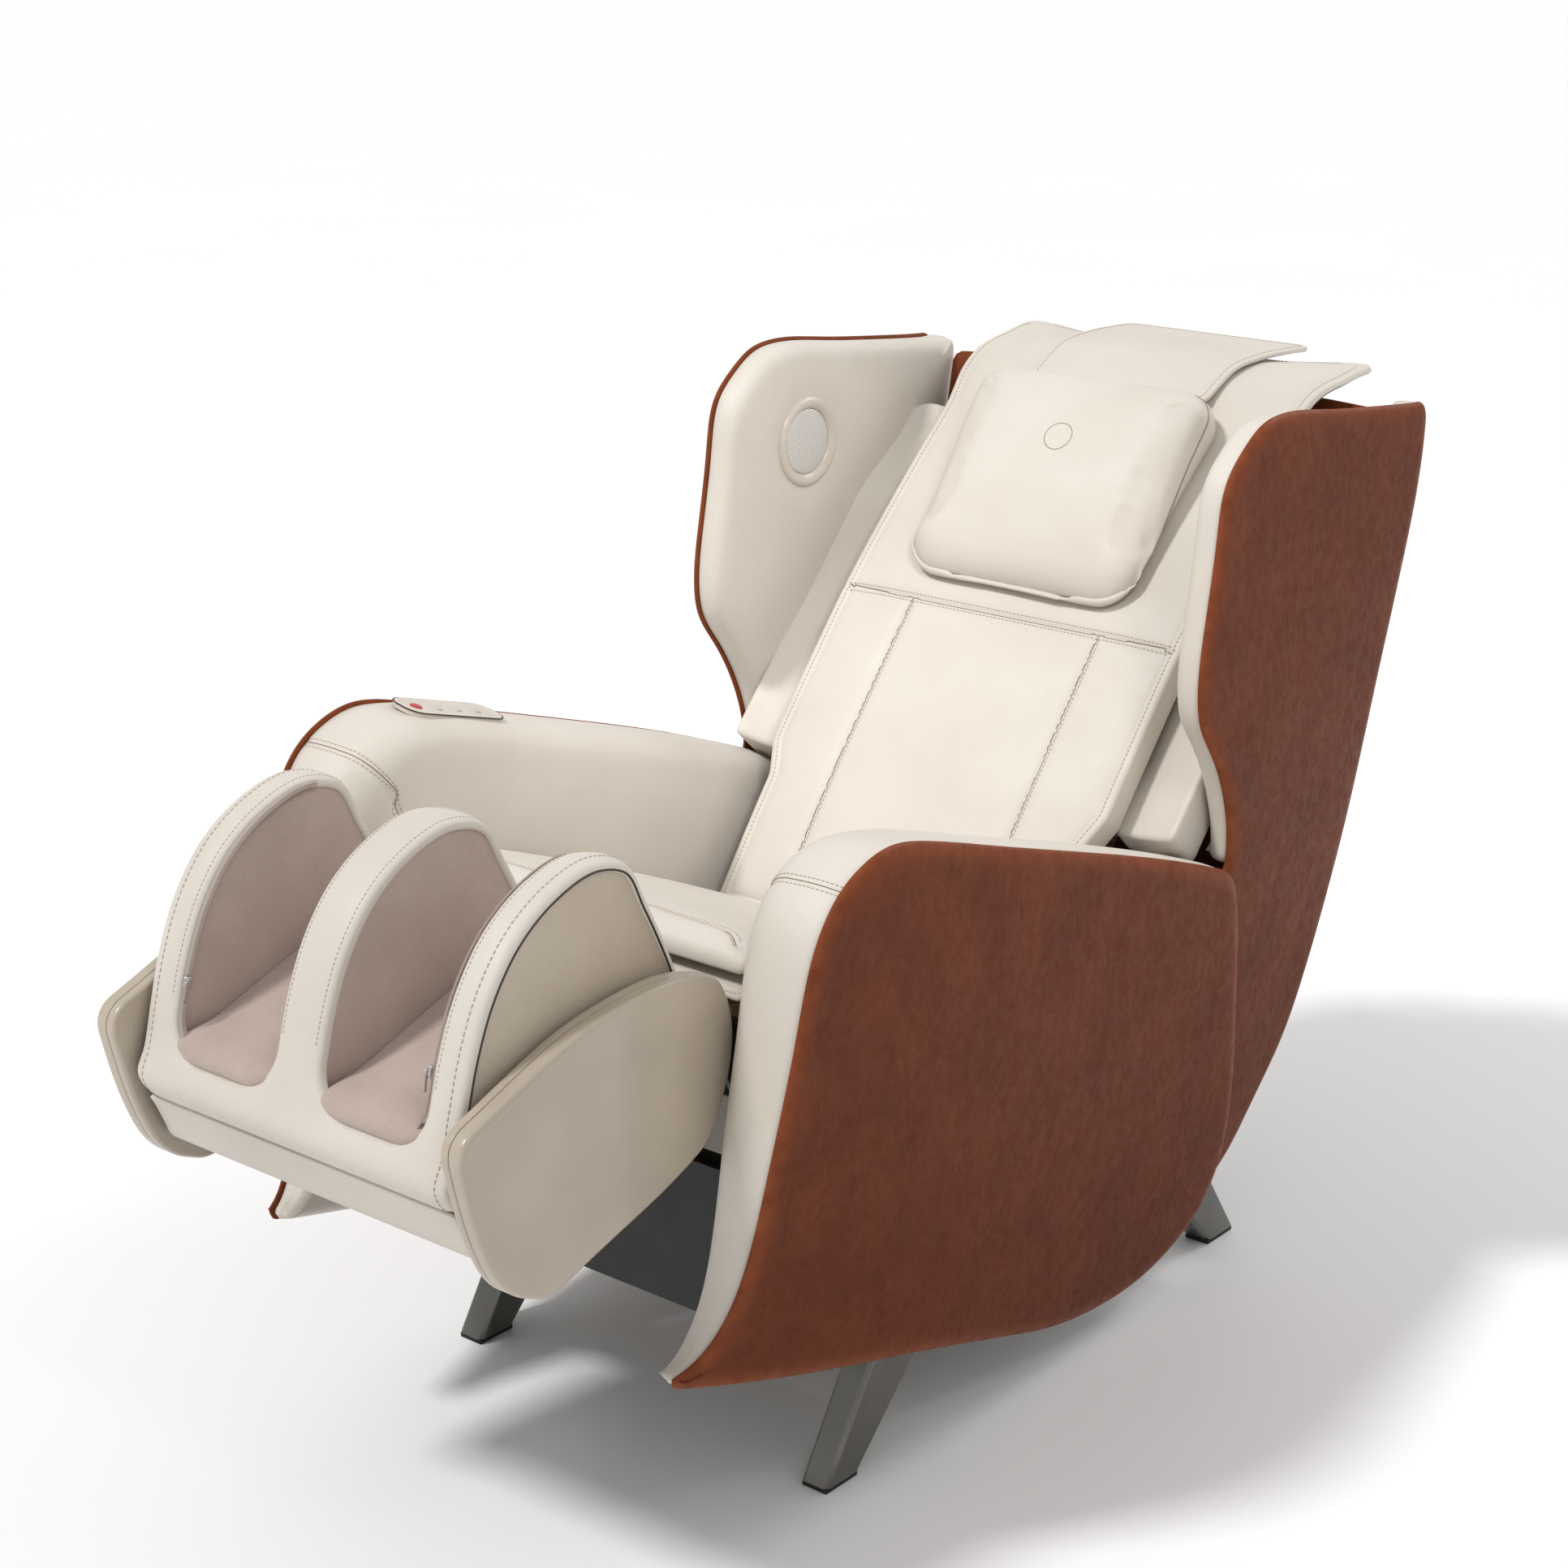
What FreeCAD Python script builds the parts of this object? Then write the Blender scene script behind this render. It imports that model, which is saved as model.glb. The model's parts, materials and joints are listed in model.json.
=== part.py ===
# Compact wing-back massage chair, built as separate parts on five main bodies:
# base, seat body, backrest, massage carriage and leg rest.
# The chair is drawn in its working pose: seat body tilted back, leg rest raised.
# All outlines are (y, z) pairs seen from the sitter's left side, measured from the
# front feet, with the chair facing -Y. Every part is shifted by -Y_CENTRE when saved,
# so the origin ends up on the floor at the centre of the chair's footprint box.
import FreeCAD, Part
import math
import os

os.makedirs("parts", exist_ok=True)
V = FreeCAD.Vector

# ---- driving dimensions (millimetres, degrees) ----
Y_CENTRE = 312.5                 # middle of the whole chair, front to back
ARM_HALF_WIDTH = 371.0           # outer face of an arm, at its widest
ARM_TUCK = 63.6                  # how far the side shells curve in towards the floor
TUCK_TOP, TUCK_SPAN = 689.0, 636.0
NOSE_TUCK = 50.9                 # extra inward curve of the low front corner
WING_HALF_WIDTH = 360.0
SHELL = 9.0                      # leather-covered side panel thickness
ARM_INNER_X = 258.0
WING_INNER_X = 315.0
LOW_WALL_X = 278.0               # inner wall of an arm, below the seat
SEAT_HALF = 251.0
CALF_HALF = 212.0
SHIELD_X0, SHIELD_PART_X, SHIELD_X1 = 220.0, 232.0, 250.0

TILT_PIVOT = (350.0, 250.0)      # seat body on the base
RECLINE_PIVOT = (450.0, 330.0)   # backrest on the seat body
CALF_PIVOT = (-112.0, 548.0)     # leg rest on the seat body
RECLINE_TRAVEL = 20.0            # degrees that the back leans further
RAIL_X0, RAIL_X1 = 232.0, 268.0  # lane of the base rails and legs
PIN_R, PIN_CLEARANCE = 10.0, 0.05

BACK_FOOT = (397.0, 430.0)       # lower edge of the back pad's front face
BACK_HEAD = (876.0, 963.0)       # upper edge of it
BACK_LENGTH = math.hypot(BACK_HEAD[0] - BACK_FOOT[0], BACK_HEAD[1] - BACK_FOOT[1])
BACK_ANGLE = math.degrees(math.atan2(BACK_HEAD[1] - BACK_FOOT[1], BACK_HEAD[0] - BACK_FOOT[0]))


# ---- small tools ----
def save(name, shape):
    shape = shape.copy()
    shape.translate(V(0, -Y_CENTRE, 0))
    shape.exportStep("parts/" + name + ".step")


def fuse(shapes):
    result = shapes[0]
    for other in shapes[1:]:
        result = result.fuse(other)
    return result.removeSplitter()


def mirror(shape):
    return shape.mirror(V(0, 0, 0), V(1, 0, 0))


def both(shape):
    return Part.makeCompound([shape, mirror(shape)])


def outline(*runs):
    """Closed face in the plane X = 0. A run is ("line" or "curve", points); runs join up."""
    edges = []
    first = runs[0][1][0]
    last = None
    for kind, points in runs:
        points = [V(0, y, z) for y, z in points]
        if last is not None and not last.isEqual(points[0], 1e-6):
            edges.append(Part.LineSegment(last, points[0]).toShape())
        if kind == "curve":
            spline = Part.BSplineCurve()
            spline.interpolate(points)
            edges.append(spline.toShape())
        else:
            for a, b in zip(points, points[1:]):
                edges.append(Part.LineSegment(a, b).toShape())
        last = points[-1]
    start = V(0, first[0], first[1])
    if not last.isEqual(start, 1e-6):
        edges.append(Part.LineSegment(last, start).toShape())
    return Part.Face(Part.Wire(edges))


def slab(face, x0, x1):
    face = face.copy()
    face.translate(V(x0, 0, 0))
    return face.extrude(V(x1 - x0, 0, 0))


def block(points, x0, x1):
    return slab(outline(("line", points)), x0, x1)


def disc(centre, radius, x0, x1):
    return Part.makeCylinder(radius, x1 - x0, V(x0, centre[0], centre[1]), V(1, 0, 0))


def box(x0, x1, y0, y1, z0, z1):
    return Part.makeBox(x1 - x0, y1 - y0, z1 - z0, V(x0, y0, z0))


def rod(a, b, radius, x):
    start = V(x, a[0], a[1])
    along = V(0, b[0] - a[0], b[1] - a[1])
    return Part.makeCylinder(radius, along.Length, start, along)


def back_point(s, t):
    """A point s up the back and t behind its front plane."""
    a = math.radians(BACK_ANGLE)
    return (BACK_FOOT[0] + s * math.cos(a) + t * math.sin(a),
            BACK_FOOT[1] + s * math.sin(a) - t * math.cos(a))


def back_block(s0, s1, t0, t1, x0, x1):
    return block([back_point(s0, t0), back_point(s1, t0), back_point(s1, t1), back_point(s0, t1)],
                 x0, x1)


# ---- side surfaces ----
def arm_x(y, z):
    tuck = ARM_TUCK * (max(0.0, TUCK_TOP - z) / TUCK_SPAN) ** 2
    nose = NOSE_TUCK * (max(0.0, 212.0 - y) / 461.0) ** 2.5 * min(1.0, max(0.0, TUCK_TOP - z) / 449.0)
    return ARM_HALF_WIDTH - tuck - nose


def wing_x(y, z):
    """The wing keeps inside the arm shell over the whole recline travel."""
    a = math.radians(RECLINE_TRAVEL)
    low = RECLINE_PIVOT[1] + (z - RECLINE_PIVOT[1]) * math.cos(a) - (y - RECLINE_PIVOT[0]) * math.sin(a)
    return WING_HALF_WIDTH - ARM_TUCK * (max(0.0, TUCK_TOP - low) / TUCK_SPAN) ** 2


def side_slab(x_of, y0, y1, z0, z1, outer_gap, x_inner=None, steps=13):
    """Slab under the side surface: down to x_inner, or SHELL thick."""
    rows = []
    for i in range(steps):
        y = y0 + (y1 - y0) * i / (steps - 1)
        rows.append([V(x_of(y, z0 + (z1 - z0) * j / (steps - 1)) - outer_gap, y,
                       z0 + (z1 - z0) * j / (steps - 1)) for j in range(steps)])
    surface = Part.BSplineSurface()
    surface.interpolate(rows)
    depth = SHELL if x_inner is None else 260.0
    solid = surface.toShape().extrude(V(-depth, 0, 0))
    if x_inner is not None:
        solid = solid.common(box(x_inner, 500, y0 - 10, y1 + 10, z0 - 10, z1 + 10))
    return solid


# ---- outlines ----
ARM_TOP = ("curve", [(572, 548), (435, 599), (253, 658), (121, 700), (22, 731), (-32, 740),
                     (-72, 732), (-108, 712), (-133, 682), (-149, 635), (-158, 577), (-168, 509),
                     (-177, 439), (-188, 350), (-207, 290), (-228, 263), (-254, 250)])
ARM_BOTTOM = ("curve", [(-249, 237), (-126, 204), (107, 141), (255, 92), (376, 56), (455, 46),
                        (532, 49), (589, 67), (634, 100), (657, 148), (660, 213), (643, 318),
                        (622, 420), (605, 504), (595, 528), (572, 548)])
ARM_OUTLINE = outline(ARM_TOP, ("line", [(-254, 250), (-249, 237)]), ARM_BOTTOM)

WING_FRONT = ("curve", [(599, 541), (585, 620), (552, 680), (523, 724), (517, 756), (524, 824),
                        (541, 919), (557, 982), (587, 1011), (621, 1031), (658, 1037), (750, 1028),
                        (871, 1013), (956, 1004)])
WING_REAR = ("curve", [(981, 984), (977, 934), (952, 831), (912, 683), (880, 520), (859, 422),
                       (838, 334), (809, 252), (764, 186), (725, 135), (697, 115)])


def wing_outline(tongue):
    """Visible wing, with or without the tongue that runs down inside the arm."""
    corner = ("curve", [(956, 1004), (975, 999), (981, 984)])
    if tongue:
        lower = ("line", [(697, 115), (640, 120), (560, 150), (540, 220), (560, 420), (575, 505),
                          (599, 541)])
        return outline(WING_FRONT, corner, WING_REAR, lower)
    rear = ("curve", [(981, 984), (977, 934), (952, 831), (912, 683), (893, 590)])
    return outline(WING_FRONT, corner, rear, ("line", [(893, 590), (720, 470), (640, 525), (599, 541)]))


# ================= base =================
def leg(front):
    """Tapered flat leg, raked fore and aft, with bevelled edges."""
    if front:
        points = [(0, 6), (56, 6), (238, 188), (112, 188)]
    else:
        points = [(734, 6), (792, 6), (668, 188), (560, 188)]
    solid = block(points, RAIL_X0, RAIL_X1)
    edges = [e for e in solid.Edges if abs(e.tangentAt(e.FirstParameter).x) < 0.5
             and e.BoundBox.ZLength > 100]
    return solid.makeChamfer(5.0, edges)


TILT_FOOT, TILT_HEAD, TILT_LANE = (576.0, 190.0), (345.0, 172.0), -75.0
RECLINE_FOOT, RECLINE_HEAD, RECLINE_LANE = (150.0, 304.0), (480.0, 235.0), 60.0
LEG_FOOT, LEG_HEAD, LEG_LANE = (360.0, 326.0), (-158.0, 495.0), -10.0
LUG_GAP, LUG_THICK, EYE_PIN_R = 13.0, 4.0, 4.0
REAR_TUBE, FRONT_TUBE, MID_TUBE = (400.0, 328.0), (60.0, 455.0), (150.0, 335.0)


def lugs(points, eye, lane):
    """Two lug plates either side of an actuator eye, with the pin between them."""
    plates = []
    for x in (lane - LUG_GAP - LUG_THICK, lane + LUG_GAP):
        plates.append(block(points, x, x + LUG_THICK).fuse(disc(eye, 11, x, x + LUG_THICK)))
    pin = disc(eye, EYE_PIN_R, lane - LUG_GAP - LUG_THICK, lane + LUG_GAP + LUG_THICK)
    return plates + [pin]


def square_tube(y, z, size, wall):
    outer = box(-RAIL_X0, RAIL_X0, y, y + size, z, z + size)
    return outer.cut(box(-RAIL_X0 - 1, RAIL_X0 + 1, y + wall, y + size - wall, z + wall, z + size - wall))


def make_base():
    rail = block([(112, 188.3), (668, 188.3), (640, 226), (420, 226), (378, 279), (322, 279),
                  (280, 226), (150, 226)], RAIL_X0, RAIL_X1)
    rail = rail.cut(disc(TILT_PIVOT, PIN_R, RAIL_X0 - 1, RAIL_X1 + 1))
    save("base_side_frames", both(rail))
    front = square_tube(156, 190, 36, 3)
    rear = square_tube(596, 190, 36, 3)
    rear = fuse([rear] + lugs([(597, 191), (576, 179), (574, 201), (597, 212)], TILT_FOOT, TILT_LANE))
    save("base_cross_tubes", Part.makeCompound([front, rear]))
    save("front_legs", both(leg(True)))
    save("rear_legs", both(leg(False)))
    pads = [both(box(RAIL_X0 + 2, RAIL_X1 - 2, y0, y1, 0, 6)) for y0, y1 in ((2, 54), (736, 790))]
    save("foot_pads", Part.makeCompound([solid for pad in pads for solid in pad.Solids]))
    save("tilt_pins", both(disc(TILT_PIVOT, PIN_R, 206, RAIL_X1)))
    panel = box(-60, 60, 632.2, 636.2, 176, 240).cut(box(12, 34, 631, 638, 195, 221))
    panel = panel.cut(box(-38, -10, 631, 638, 196, 220))
    socket = box(-38, -10, 632.2, 642, 196, 220).cut(box(-35, -13, 635, 643, 199, 217))
    blades = [box(x, x + 2, 634, 641, 205, 211) for x in (-31, -25, -19)]
    save("inlet_panel", fuse([panel, socket] + blades))
    save("power_rocker", box(13, 33, 634.6, 643.5, 197, 219))


# ================= actuators =================
def actuator(name, foot, head, lane, body_length, rod_inside, spare_bore, eye_hole):
    """Linear actuator: housing with a foot eye, and a rod that slides in it.
    The bore is spare_bore deeper than the rod's end, for the rod to move in."""
    length = math.hypot(head[0] - foot[0], head[1] - foot[1])
    uy, uz = (head[0] - foot[0]) / length, (head[1] - foot[1]) / length

    def at(distance):
        return (foot[0] + uy * distance, foot[1] + uz * distance)

    neck = rod(at(6), at(14), 10.0, lane)
    barrel = rod(at(12.5), at(body_length), 16.0, lane)
    motor = rod(at(34), at(body_length - 26), 15.0, lane + 31.0)
    middle = at(60)
    gearbox = box(lane, lane + 31, middle[0] - 12, middle[0] + 12, middle[1] - 12, middle[1] + 12)
    housing = fuse([barrel, neck, motor, gearbox, disc(foot, 11, lane - 12, lane + 12)])
    bore_end = body_length - rod_inside - spare_bore
    housing = housing.cut(rod(at(bore_end), at(body_length + 1), 8.0 + PIN_CLEARANCE, lane))
    housing = housing.cut(disc(foot, EYE_PIN_R + PIN_CLEARANCE, lane - 13, lane + 13))
    save(name + "_actuator", housing)
    shaft = rod(at(body_length - rod_inside), at(length - eye_hole - 2), 8.0, lane)
    shaft = shaft.fuse(disc(head, eye_hole + 4, lane - 8, lane + 8)).removeSplitter()
    save(name + "_rod", shaft.cut(disc(head, eye_hole, lane - 9, lane + 9)))


# ================= seat body =================
def make_seat():
    plate = outline(("line", [(-128, 552), (-104, 562), (-60, 516), (380, 366), (455, 346), (468, 326),
                              (430, 300), (372, 236), (328, 236), (300, 272), (100, 336), (-60, 420)]))
    plate = slab(plate, 212.0, 218.0)
    tubes = []
    for centre, half in ((FRONT_TUBE, LOW_WALL_X), (REAR_TUBE, LOW_WALL_X), (MID_TUBE, 212.0)):
        radius = 13.0 if half > 212.0 else 10.0
        tube = disc(centre, radius, -half, half).cut(disc(centre, radius - 2.5, -half - 1, half + 1))
        if half > 212.0:
            plate = plate.cut(disc(centre, radius, 200, 230))
        tubes.append(tube)
    for centre, radius in ((TILT_PIVOT, PIN_R + PIN_CLEARANCE), (RECLINE_PIVOT, PIN_R), (CALF_PIVOT, 6.0)):
        plate = plate.cut(disc(centre, radius, 200, 230))
    save("seat_frame_plates", both(plate))
    tilt_arm = lugs([(390, 322), (408, 318), (354, 168), (336, 172)], TILT_HEAD, TILT_LANE)
    leg_lug = lugs([(388, 334), (394, 317), (362, 316), (358, 336)], LEG_FOOT, LEG_LANE)
    recline_lug = lugs([(142, 330), (158, 330), (158, 302), (142, 302)], RECLINE_FOOT, RECLINE_LANE)
    tubes[1] = fuse([tubes[1]] + tilt_arm + leg_lug)
    tubes[2] = fuse([tubes[2]] + recline_lug)
    save("seat_cross_tubes", Part.makeCompound(tubes))
    pan = outline(("line", [(-96, 563), (420, 372), (416, 361), (-100, 552)]))
    save("seat_pan", slab(pan, -205, 205))
    top = ("curve", [(-104, 612), (-92, 627), (-70, 623), (20, 591), (108, 557), (250, 496), (384, 438)])
    cushion = outline(top, ("line", [(384, 438), (384, 418), (412, 390), (410, 377), (-97, 564.5)]),
                      ("curve", [(-97, 564.5), (-106, 588), (-104, 612)]))
    save("seat_cushion", slab(cushion, -SEAT_HALF, SEAT_HALF))
    tray = outline(("line", [(-38, 350), (-60, 196), (60, 160), (62, 164), (-56, 200), (-34, 350)]))
    save("belly_tray", slab(tray, -206, 206))
    supply = box(-200, -100, 140, 280, 350, 400)
    save("power_supply", supply.cut(box(-196, -104, 144, 276, 354, 396)))
    save("air_pump", box(80, 190, 150, 270, 350, 405))
    pins = [both(disc(RECLINE_PIVOT, PIN_R, 206, 230)), both(disc(CALF_PIVOT, 6.0, 196, 219))]
    save("pivot_pins", Part.makeCompound([solid for pin in pins for solid in pin.Solids]))


# ================= control panel =================
PANEL_X, PANEL_Y, PANEL_Z = -316.0, 62.0, 722.5
PANEL_LENGTH, PANEL_WIDTH, PANEL_THICK = 148.0, 46.0, 6.0
KEY_TRAVEL_GAP = 1.7


def rounded_panel(height):
    """Oblong with round corners, its top at the given height over the panel's face."""
    shape = Part.makeBox(PANEL_WIDTH, PANEL_LENGTH, PANEL_THICK + height,
                         V(-PANEL_WIDTH / 2, -PANEL_LENGTH / 2, -PANEL_THICK))
    upright = [e for e in shape.Edges if abs(e.tangentAt(0).z) > 0.9]
    return shape.makeFillet(18.0, upright)


def on_panel(shape):
    """Moves a shape drawn flat around the panel's top centre on to the arm."""
    shape = shape.copy()
    shape.rotate(V(0, 0, 0), V(1, 0, 0), math.degrees(math.atan2(692.0 - 749.0, 138.0)))
    shape.translate(V(PANEL_X, PANEL_Y, PANEL_Z))
    return shape


def make_controls():
    """Saves the panel and its keys, and returns the shape of the recess they sit in."""
    panel = rounded_panel(0.0)
    keys = (("power_key", -50.0, 7.0), ("key_recline", -18.0, 6.0), ("key_massage", 12.0, 6.0),
            ("key_air", 42.0, 6.0))
    for name, y, radius in keys:
        panel = panel.cut(Part.makeCylinder(radius + 0.4, 4.2, V(0, y, -4.2)))
        save(name, on_panel(Part.makeCylinder(radius, 3.4, V(0, y, -4.2 + KEY_TRAVEL_GAP))))
    save("control_panel", on_panel(panel))
    return on_panel(rounded_panel(20.0))


# ================= arms =================
SEAM_LINE = [(-96, 800), (-100, 700), (-76, 620), (-92, 420), (-150, 300), (-166, 180)]


def make_arms():
    region = slab(ARM_OUTLINE, 200, 420)
    panel = side_slab(arm_x, -290, 700, 20, 780, 0.0).common(region)
    core = side_slab(arm_x, -290, 700, 20, 780, SHELL + 0.2, ARM_INNER_X)
    core = core.common(region)
    front_side = block([(-400, 800)] + SEAM_LINE + [(-400, 180)], 200, 420)
    rear_side = block([(-95.6, 800), (-99.6, 700), (-75.6, 620), (-91.6, 420), (-80, 380), (800, 100),
                       (800, 800)], 200, 420)
    trim = core.common(front_side)
    cavity_points = [(-60, 560), (-48, 672), (-20, 694), (30, 684), (253, 610), (420, 554), (540, 500),
                     (800, 400), (800, -50), (-60, -50)]
    cavity = block(cavity_points, ARM_INNER_X + 18, 420)
    under_seat = block([(-75, 505), (440, 330), (900, 300), (900, 0), (-400, 0), (-400, 505)], 200, 420)
    pad = core.common(rear_side).cut(cavity).cut(under_seat)
    pad = pad.common(disc(RECLINE_PIVOT, 246, 200, 420).fuse(box(200, 420, -400, 452, 0, 900)))
    pad = pad.cut(box(336, 420, 545, 640, 300, 575))
    pad = pad.cut(disc(FRONT_TUBE, 13.3, 200, 300))
    trim_cut = block([(-88, 420), (-146, 300), (-160, 190), (-100, 180), (-70, 420)], 200, 420)
    trim = trim.cut(trim_cut)
    low = core.common(block([(-91, 420), (-74, 504), (440, 329), (560, 300), (650, 100), (600, 0),
                             (-200, 0), (-165, 190), (-149, 300)], LOW_WALL_X, LOW_WALL_X + 6))
    inset = slab(ARM_OUTLINE, LOW_WALL_X - 1, LOW_WALL_X + 8)
    low = low.common(inset)
    save("arm_inner_panels", both(low))
    save("arm_outer_panel_left", panel)
    save("arm_outer_panel_right", mirror(panel))
    save("arm_front_trim_left", trim)
    save("arm_front_trim_right", mirror(trim))
    save("arm_pad_left", pad)
    save("arm_pad_right", mirror(pad).cut(make_controls()))


# ================= backrest =================
PAD_FACE = [back_point(-8, 4), back_point(120, -9), back_point(300, -18), back_point(430, -20),
            back_point(600, -8), back_point(700, 2)]
RAIL_S0, RAIL_S1 = 70.0, 625.0
CARRIAGE_S = 330.0
PILLOW_GAP = 1.5


def make_wings():
    shell = side_slab(wing_x, 480, 1000, 100, 1060, 0.0).common(slab(wing_outline(True), 200, 420))
    pad = side_slab(wing_x, 480, 1000, 100, 1060, SHELL + 0.2, WING_INNER_X)
    pad = pad.common(slab(wing_outline(False), 200, 420))
    pad = pad.cut(disc(RECLINE_PIVOT, 256, 300, 400))
    speaker = (681, 914)
    pad = pad.cut(disc(speaker, 50, 300, 345))
    save("wing_outer_panel_left", shell)
    save("wing_outer_panel_right", mirror(shell))
    save("wing_pad_left", pad)
    save("wing_pad_right", mirror(pad))
    ring = disc(speaker, 55, WING_INNER_X - 7, WING_INNER_X - 0.2).fuse(disc(speaker, 49.7, 314, 325))
    ring = ring.cut(disc(speaker, 40, 300, 330)).removeSplitter()
    save("speaker_rings", both(ring))
    save("speaker_grilles", both(disc(speaker, 39.8, 311, 313)))
    cone = Part.makeCone(38, 18, 18, V(314, speaker[0], speaker[1]), V(1, 0, 0))
    save("speaker_drivers", both(cone.fuse(disc(speaker, 24, 332, 341)).removeSplitter()))


def make_back():
    plate = block([(436, 322), (452, 312), (478, 322), back_point(60, 132), back_point(650, 122),
                   back_point(650, 78), back_point(30, 78)], 222.0, 228.0)
    plate = plate.cut(disc(RECLINE_PIVOT, PIN_R + PIN_CLEARANCE, 200, 240))
    save("back_side_plates", both(plate))
    bars = []
    for s, t in ((60, 100), (636, 100)):
        centre = back_point(s, t)
        bars.append(disc(centre, 12, -222, 222).cut(disc(centre, 9.5, -223, 223)))
    lever = lugs([back_point(50, 90), back_point(54, 108), (491, 236), (470, 236)], RECLINE_HEAD, RECLINE_LANE)
    bars[0] = fuse([bars[0]] + lever)
    for s, t in ((380, 112), (600, 96)):
        arm = disc(back_point(s, t), 10, 228, WING_INNER_X - 0.2)
        bars += [arm, mirror(arm)]
    save("back_cross_bars", Part.makeCompound(bars))
    rail = back_block(RAIL_S0 + 8, RAIL_S1 - 6, 92, 108, 168, 184)
    save("guide_rails", both(rail))
    bolster = back_block(216, 640, 24, 64, 241, WING_INNER_X - 0.5)
    save("back_bolsters", both(bolster))
    # pad: curved face, flat rear, lapped over the top of the backrest
    face_top = [(876, 963), (897, 985), (925, 1002), (960, 1011), (1000, 1014), (1058, 1010)]
    pad = outline(("curve", PAD_FACE + face_top[1:]),
                  ("line", [(1058, 1010), (1058, 998)]),
                  ("curve", [(1058, 998), (1000, 1002), (962, 998), (934, 984), back_point(690, 38)]),
                  ("line", [back_point(690, 38), back_point(-8, 38)]))
    pad = slab(pad, -238, 238)
    save("back_pad", pad)
    # rear cover: one bowed shell from the top edge down and forward under the back
    line = [(1010, 985), (992, 900), (958, 790), (926, 680), (895, 560), (870, 450), (850, 385),
            (824, 350), (790, 334)]
    rows = []
    for i in range(9):
        x = -WING_INNER_X + 2 * WING_INNER_X * i / 8
        bow = 42.0 * (1 - (x / WING_INNER_X) ** 2) ** 0.8
        row = []
        for k, (y, z) in enumerate(line):
            fade = min(1.0, (9 - k) / 4.0)
            row.append(V(x, y - 30 + bow * fade, z))
        rows.append(row)
    surface = Part.BSplineSurface()
    surface.interpolate(rows)
    cover = surface.toShape().extrude(V(0, -4, 3))
    cover = cover.common(box(-WING_INNER_X + 0.3, WING_INNER_X - 0.3, 500, 1100, 200, 1100))
    save("rear_cover", cover)
    return pad


def make_carriage():
    plate = back_block(CARRIAGE_S - 55, CARRIAGE_S + 55, 109, 114, -150, 150)
    shoes = []
    for s in (CARRIAGE_S - 45, CARRIAGE_S + 45):
        shoe = back_block(s - 14, s + 14, 88, 112, 150, 192)
        shoe = shoe.cut(back_block(s - 20, s + 20, 91.7, 108.3, 167.7, 184.3))
        shoes += [shoe, mirror(shoe)]
    cheeks = []
    for x in (-132, 126):
        cheek = back_block(CARRIAGE_S - 24, CARRIAGE_S + 24, 62, 109.5, x, x + 6)
        cheeks.append(cheek.cut(disc(back_point(CARRIAGE_S, 78), 8.05, x - 1, x + 7)))
    save("carriage", fuse([plate] + shoes + cheeks))
    save("carriage_motor", back_block(CARRIAGE_S - 40, CARRIAGE_S + 40, 114.2, 160, -50, 50))
    axis = back_point(CARRIAGE_S, 78)
    shaft = disc(axis, 8.0, -138, 138)
    wheels = []
    for sign in (-1, 1):
        wheel = Part.makeCylinder(27, 22, V(sign * 80 - 11, axis[0], axis[1]), V(1, 0, 0))
        wheel.rotate(V(sign * 80, axis[0], axis[1]), V(0, 1, 0), sign * 14.0)
        wheels.append(wheel.cut(disc(axis, 8.0, -150, 150)))
    save("knead_shaft", shaft)
    save("knead_wheels", Part.makeCompound(wheels))


def make_pillow(back_pad):
    front = [(448, -30), (452, -50), (520, -67), (620, -77), (700, -80), (722, -68), (727, -44), (722, -16)]
    rear = [(722, -16), (690, -6), (600, -12), (520, -19), (455, -24), (448, -30)]
    face = outline(("curve", [back_point(s, t) for s, t in front]),
                   ("curve", [back_point(s, t) for s, t in rear]))
    a = math.radians(BACK_ANGLE)
    room = back_pad.copy()
    room.translate(V(0, -PILLOW_GAP * math.sin(a), PILLOW_GAP * math.cos(a)))
    save("pillow", slab(face, -158, 158).cut(room))
    flap = outline(("curve", [(872, 990), (900, 1004), (935, 1020), (990, 1026), (1060, 1025), (1108, 1022)]),
                   ("line", [(1108, 1022), (1108, 1016)]),
                   ("curve", [(1108, 1016), (1058, 1018.5), (990, 1018.5), (940, 1012), (905, 996), (876, 985)]))
    save("pillow_flap", slab(flap, -130, 130))


# ================= leg rest =================
RIDGE_TOP = ("curve", [(-468, 500), (-458, 524), (-447, 565), (-432, 616), (-408, 668), (-374, 710), (-325, 741),
                       (-262, 754), (-222, 740), (-196, 696), (-167, 639), (-152, 606)])


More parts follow.
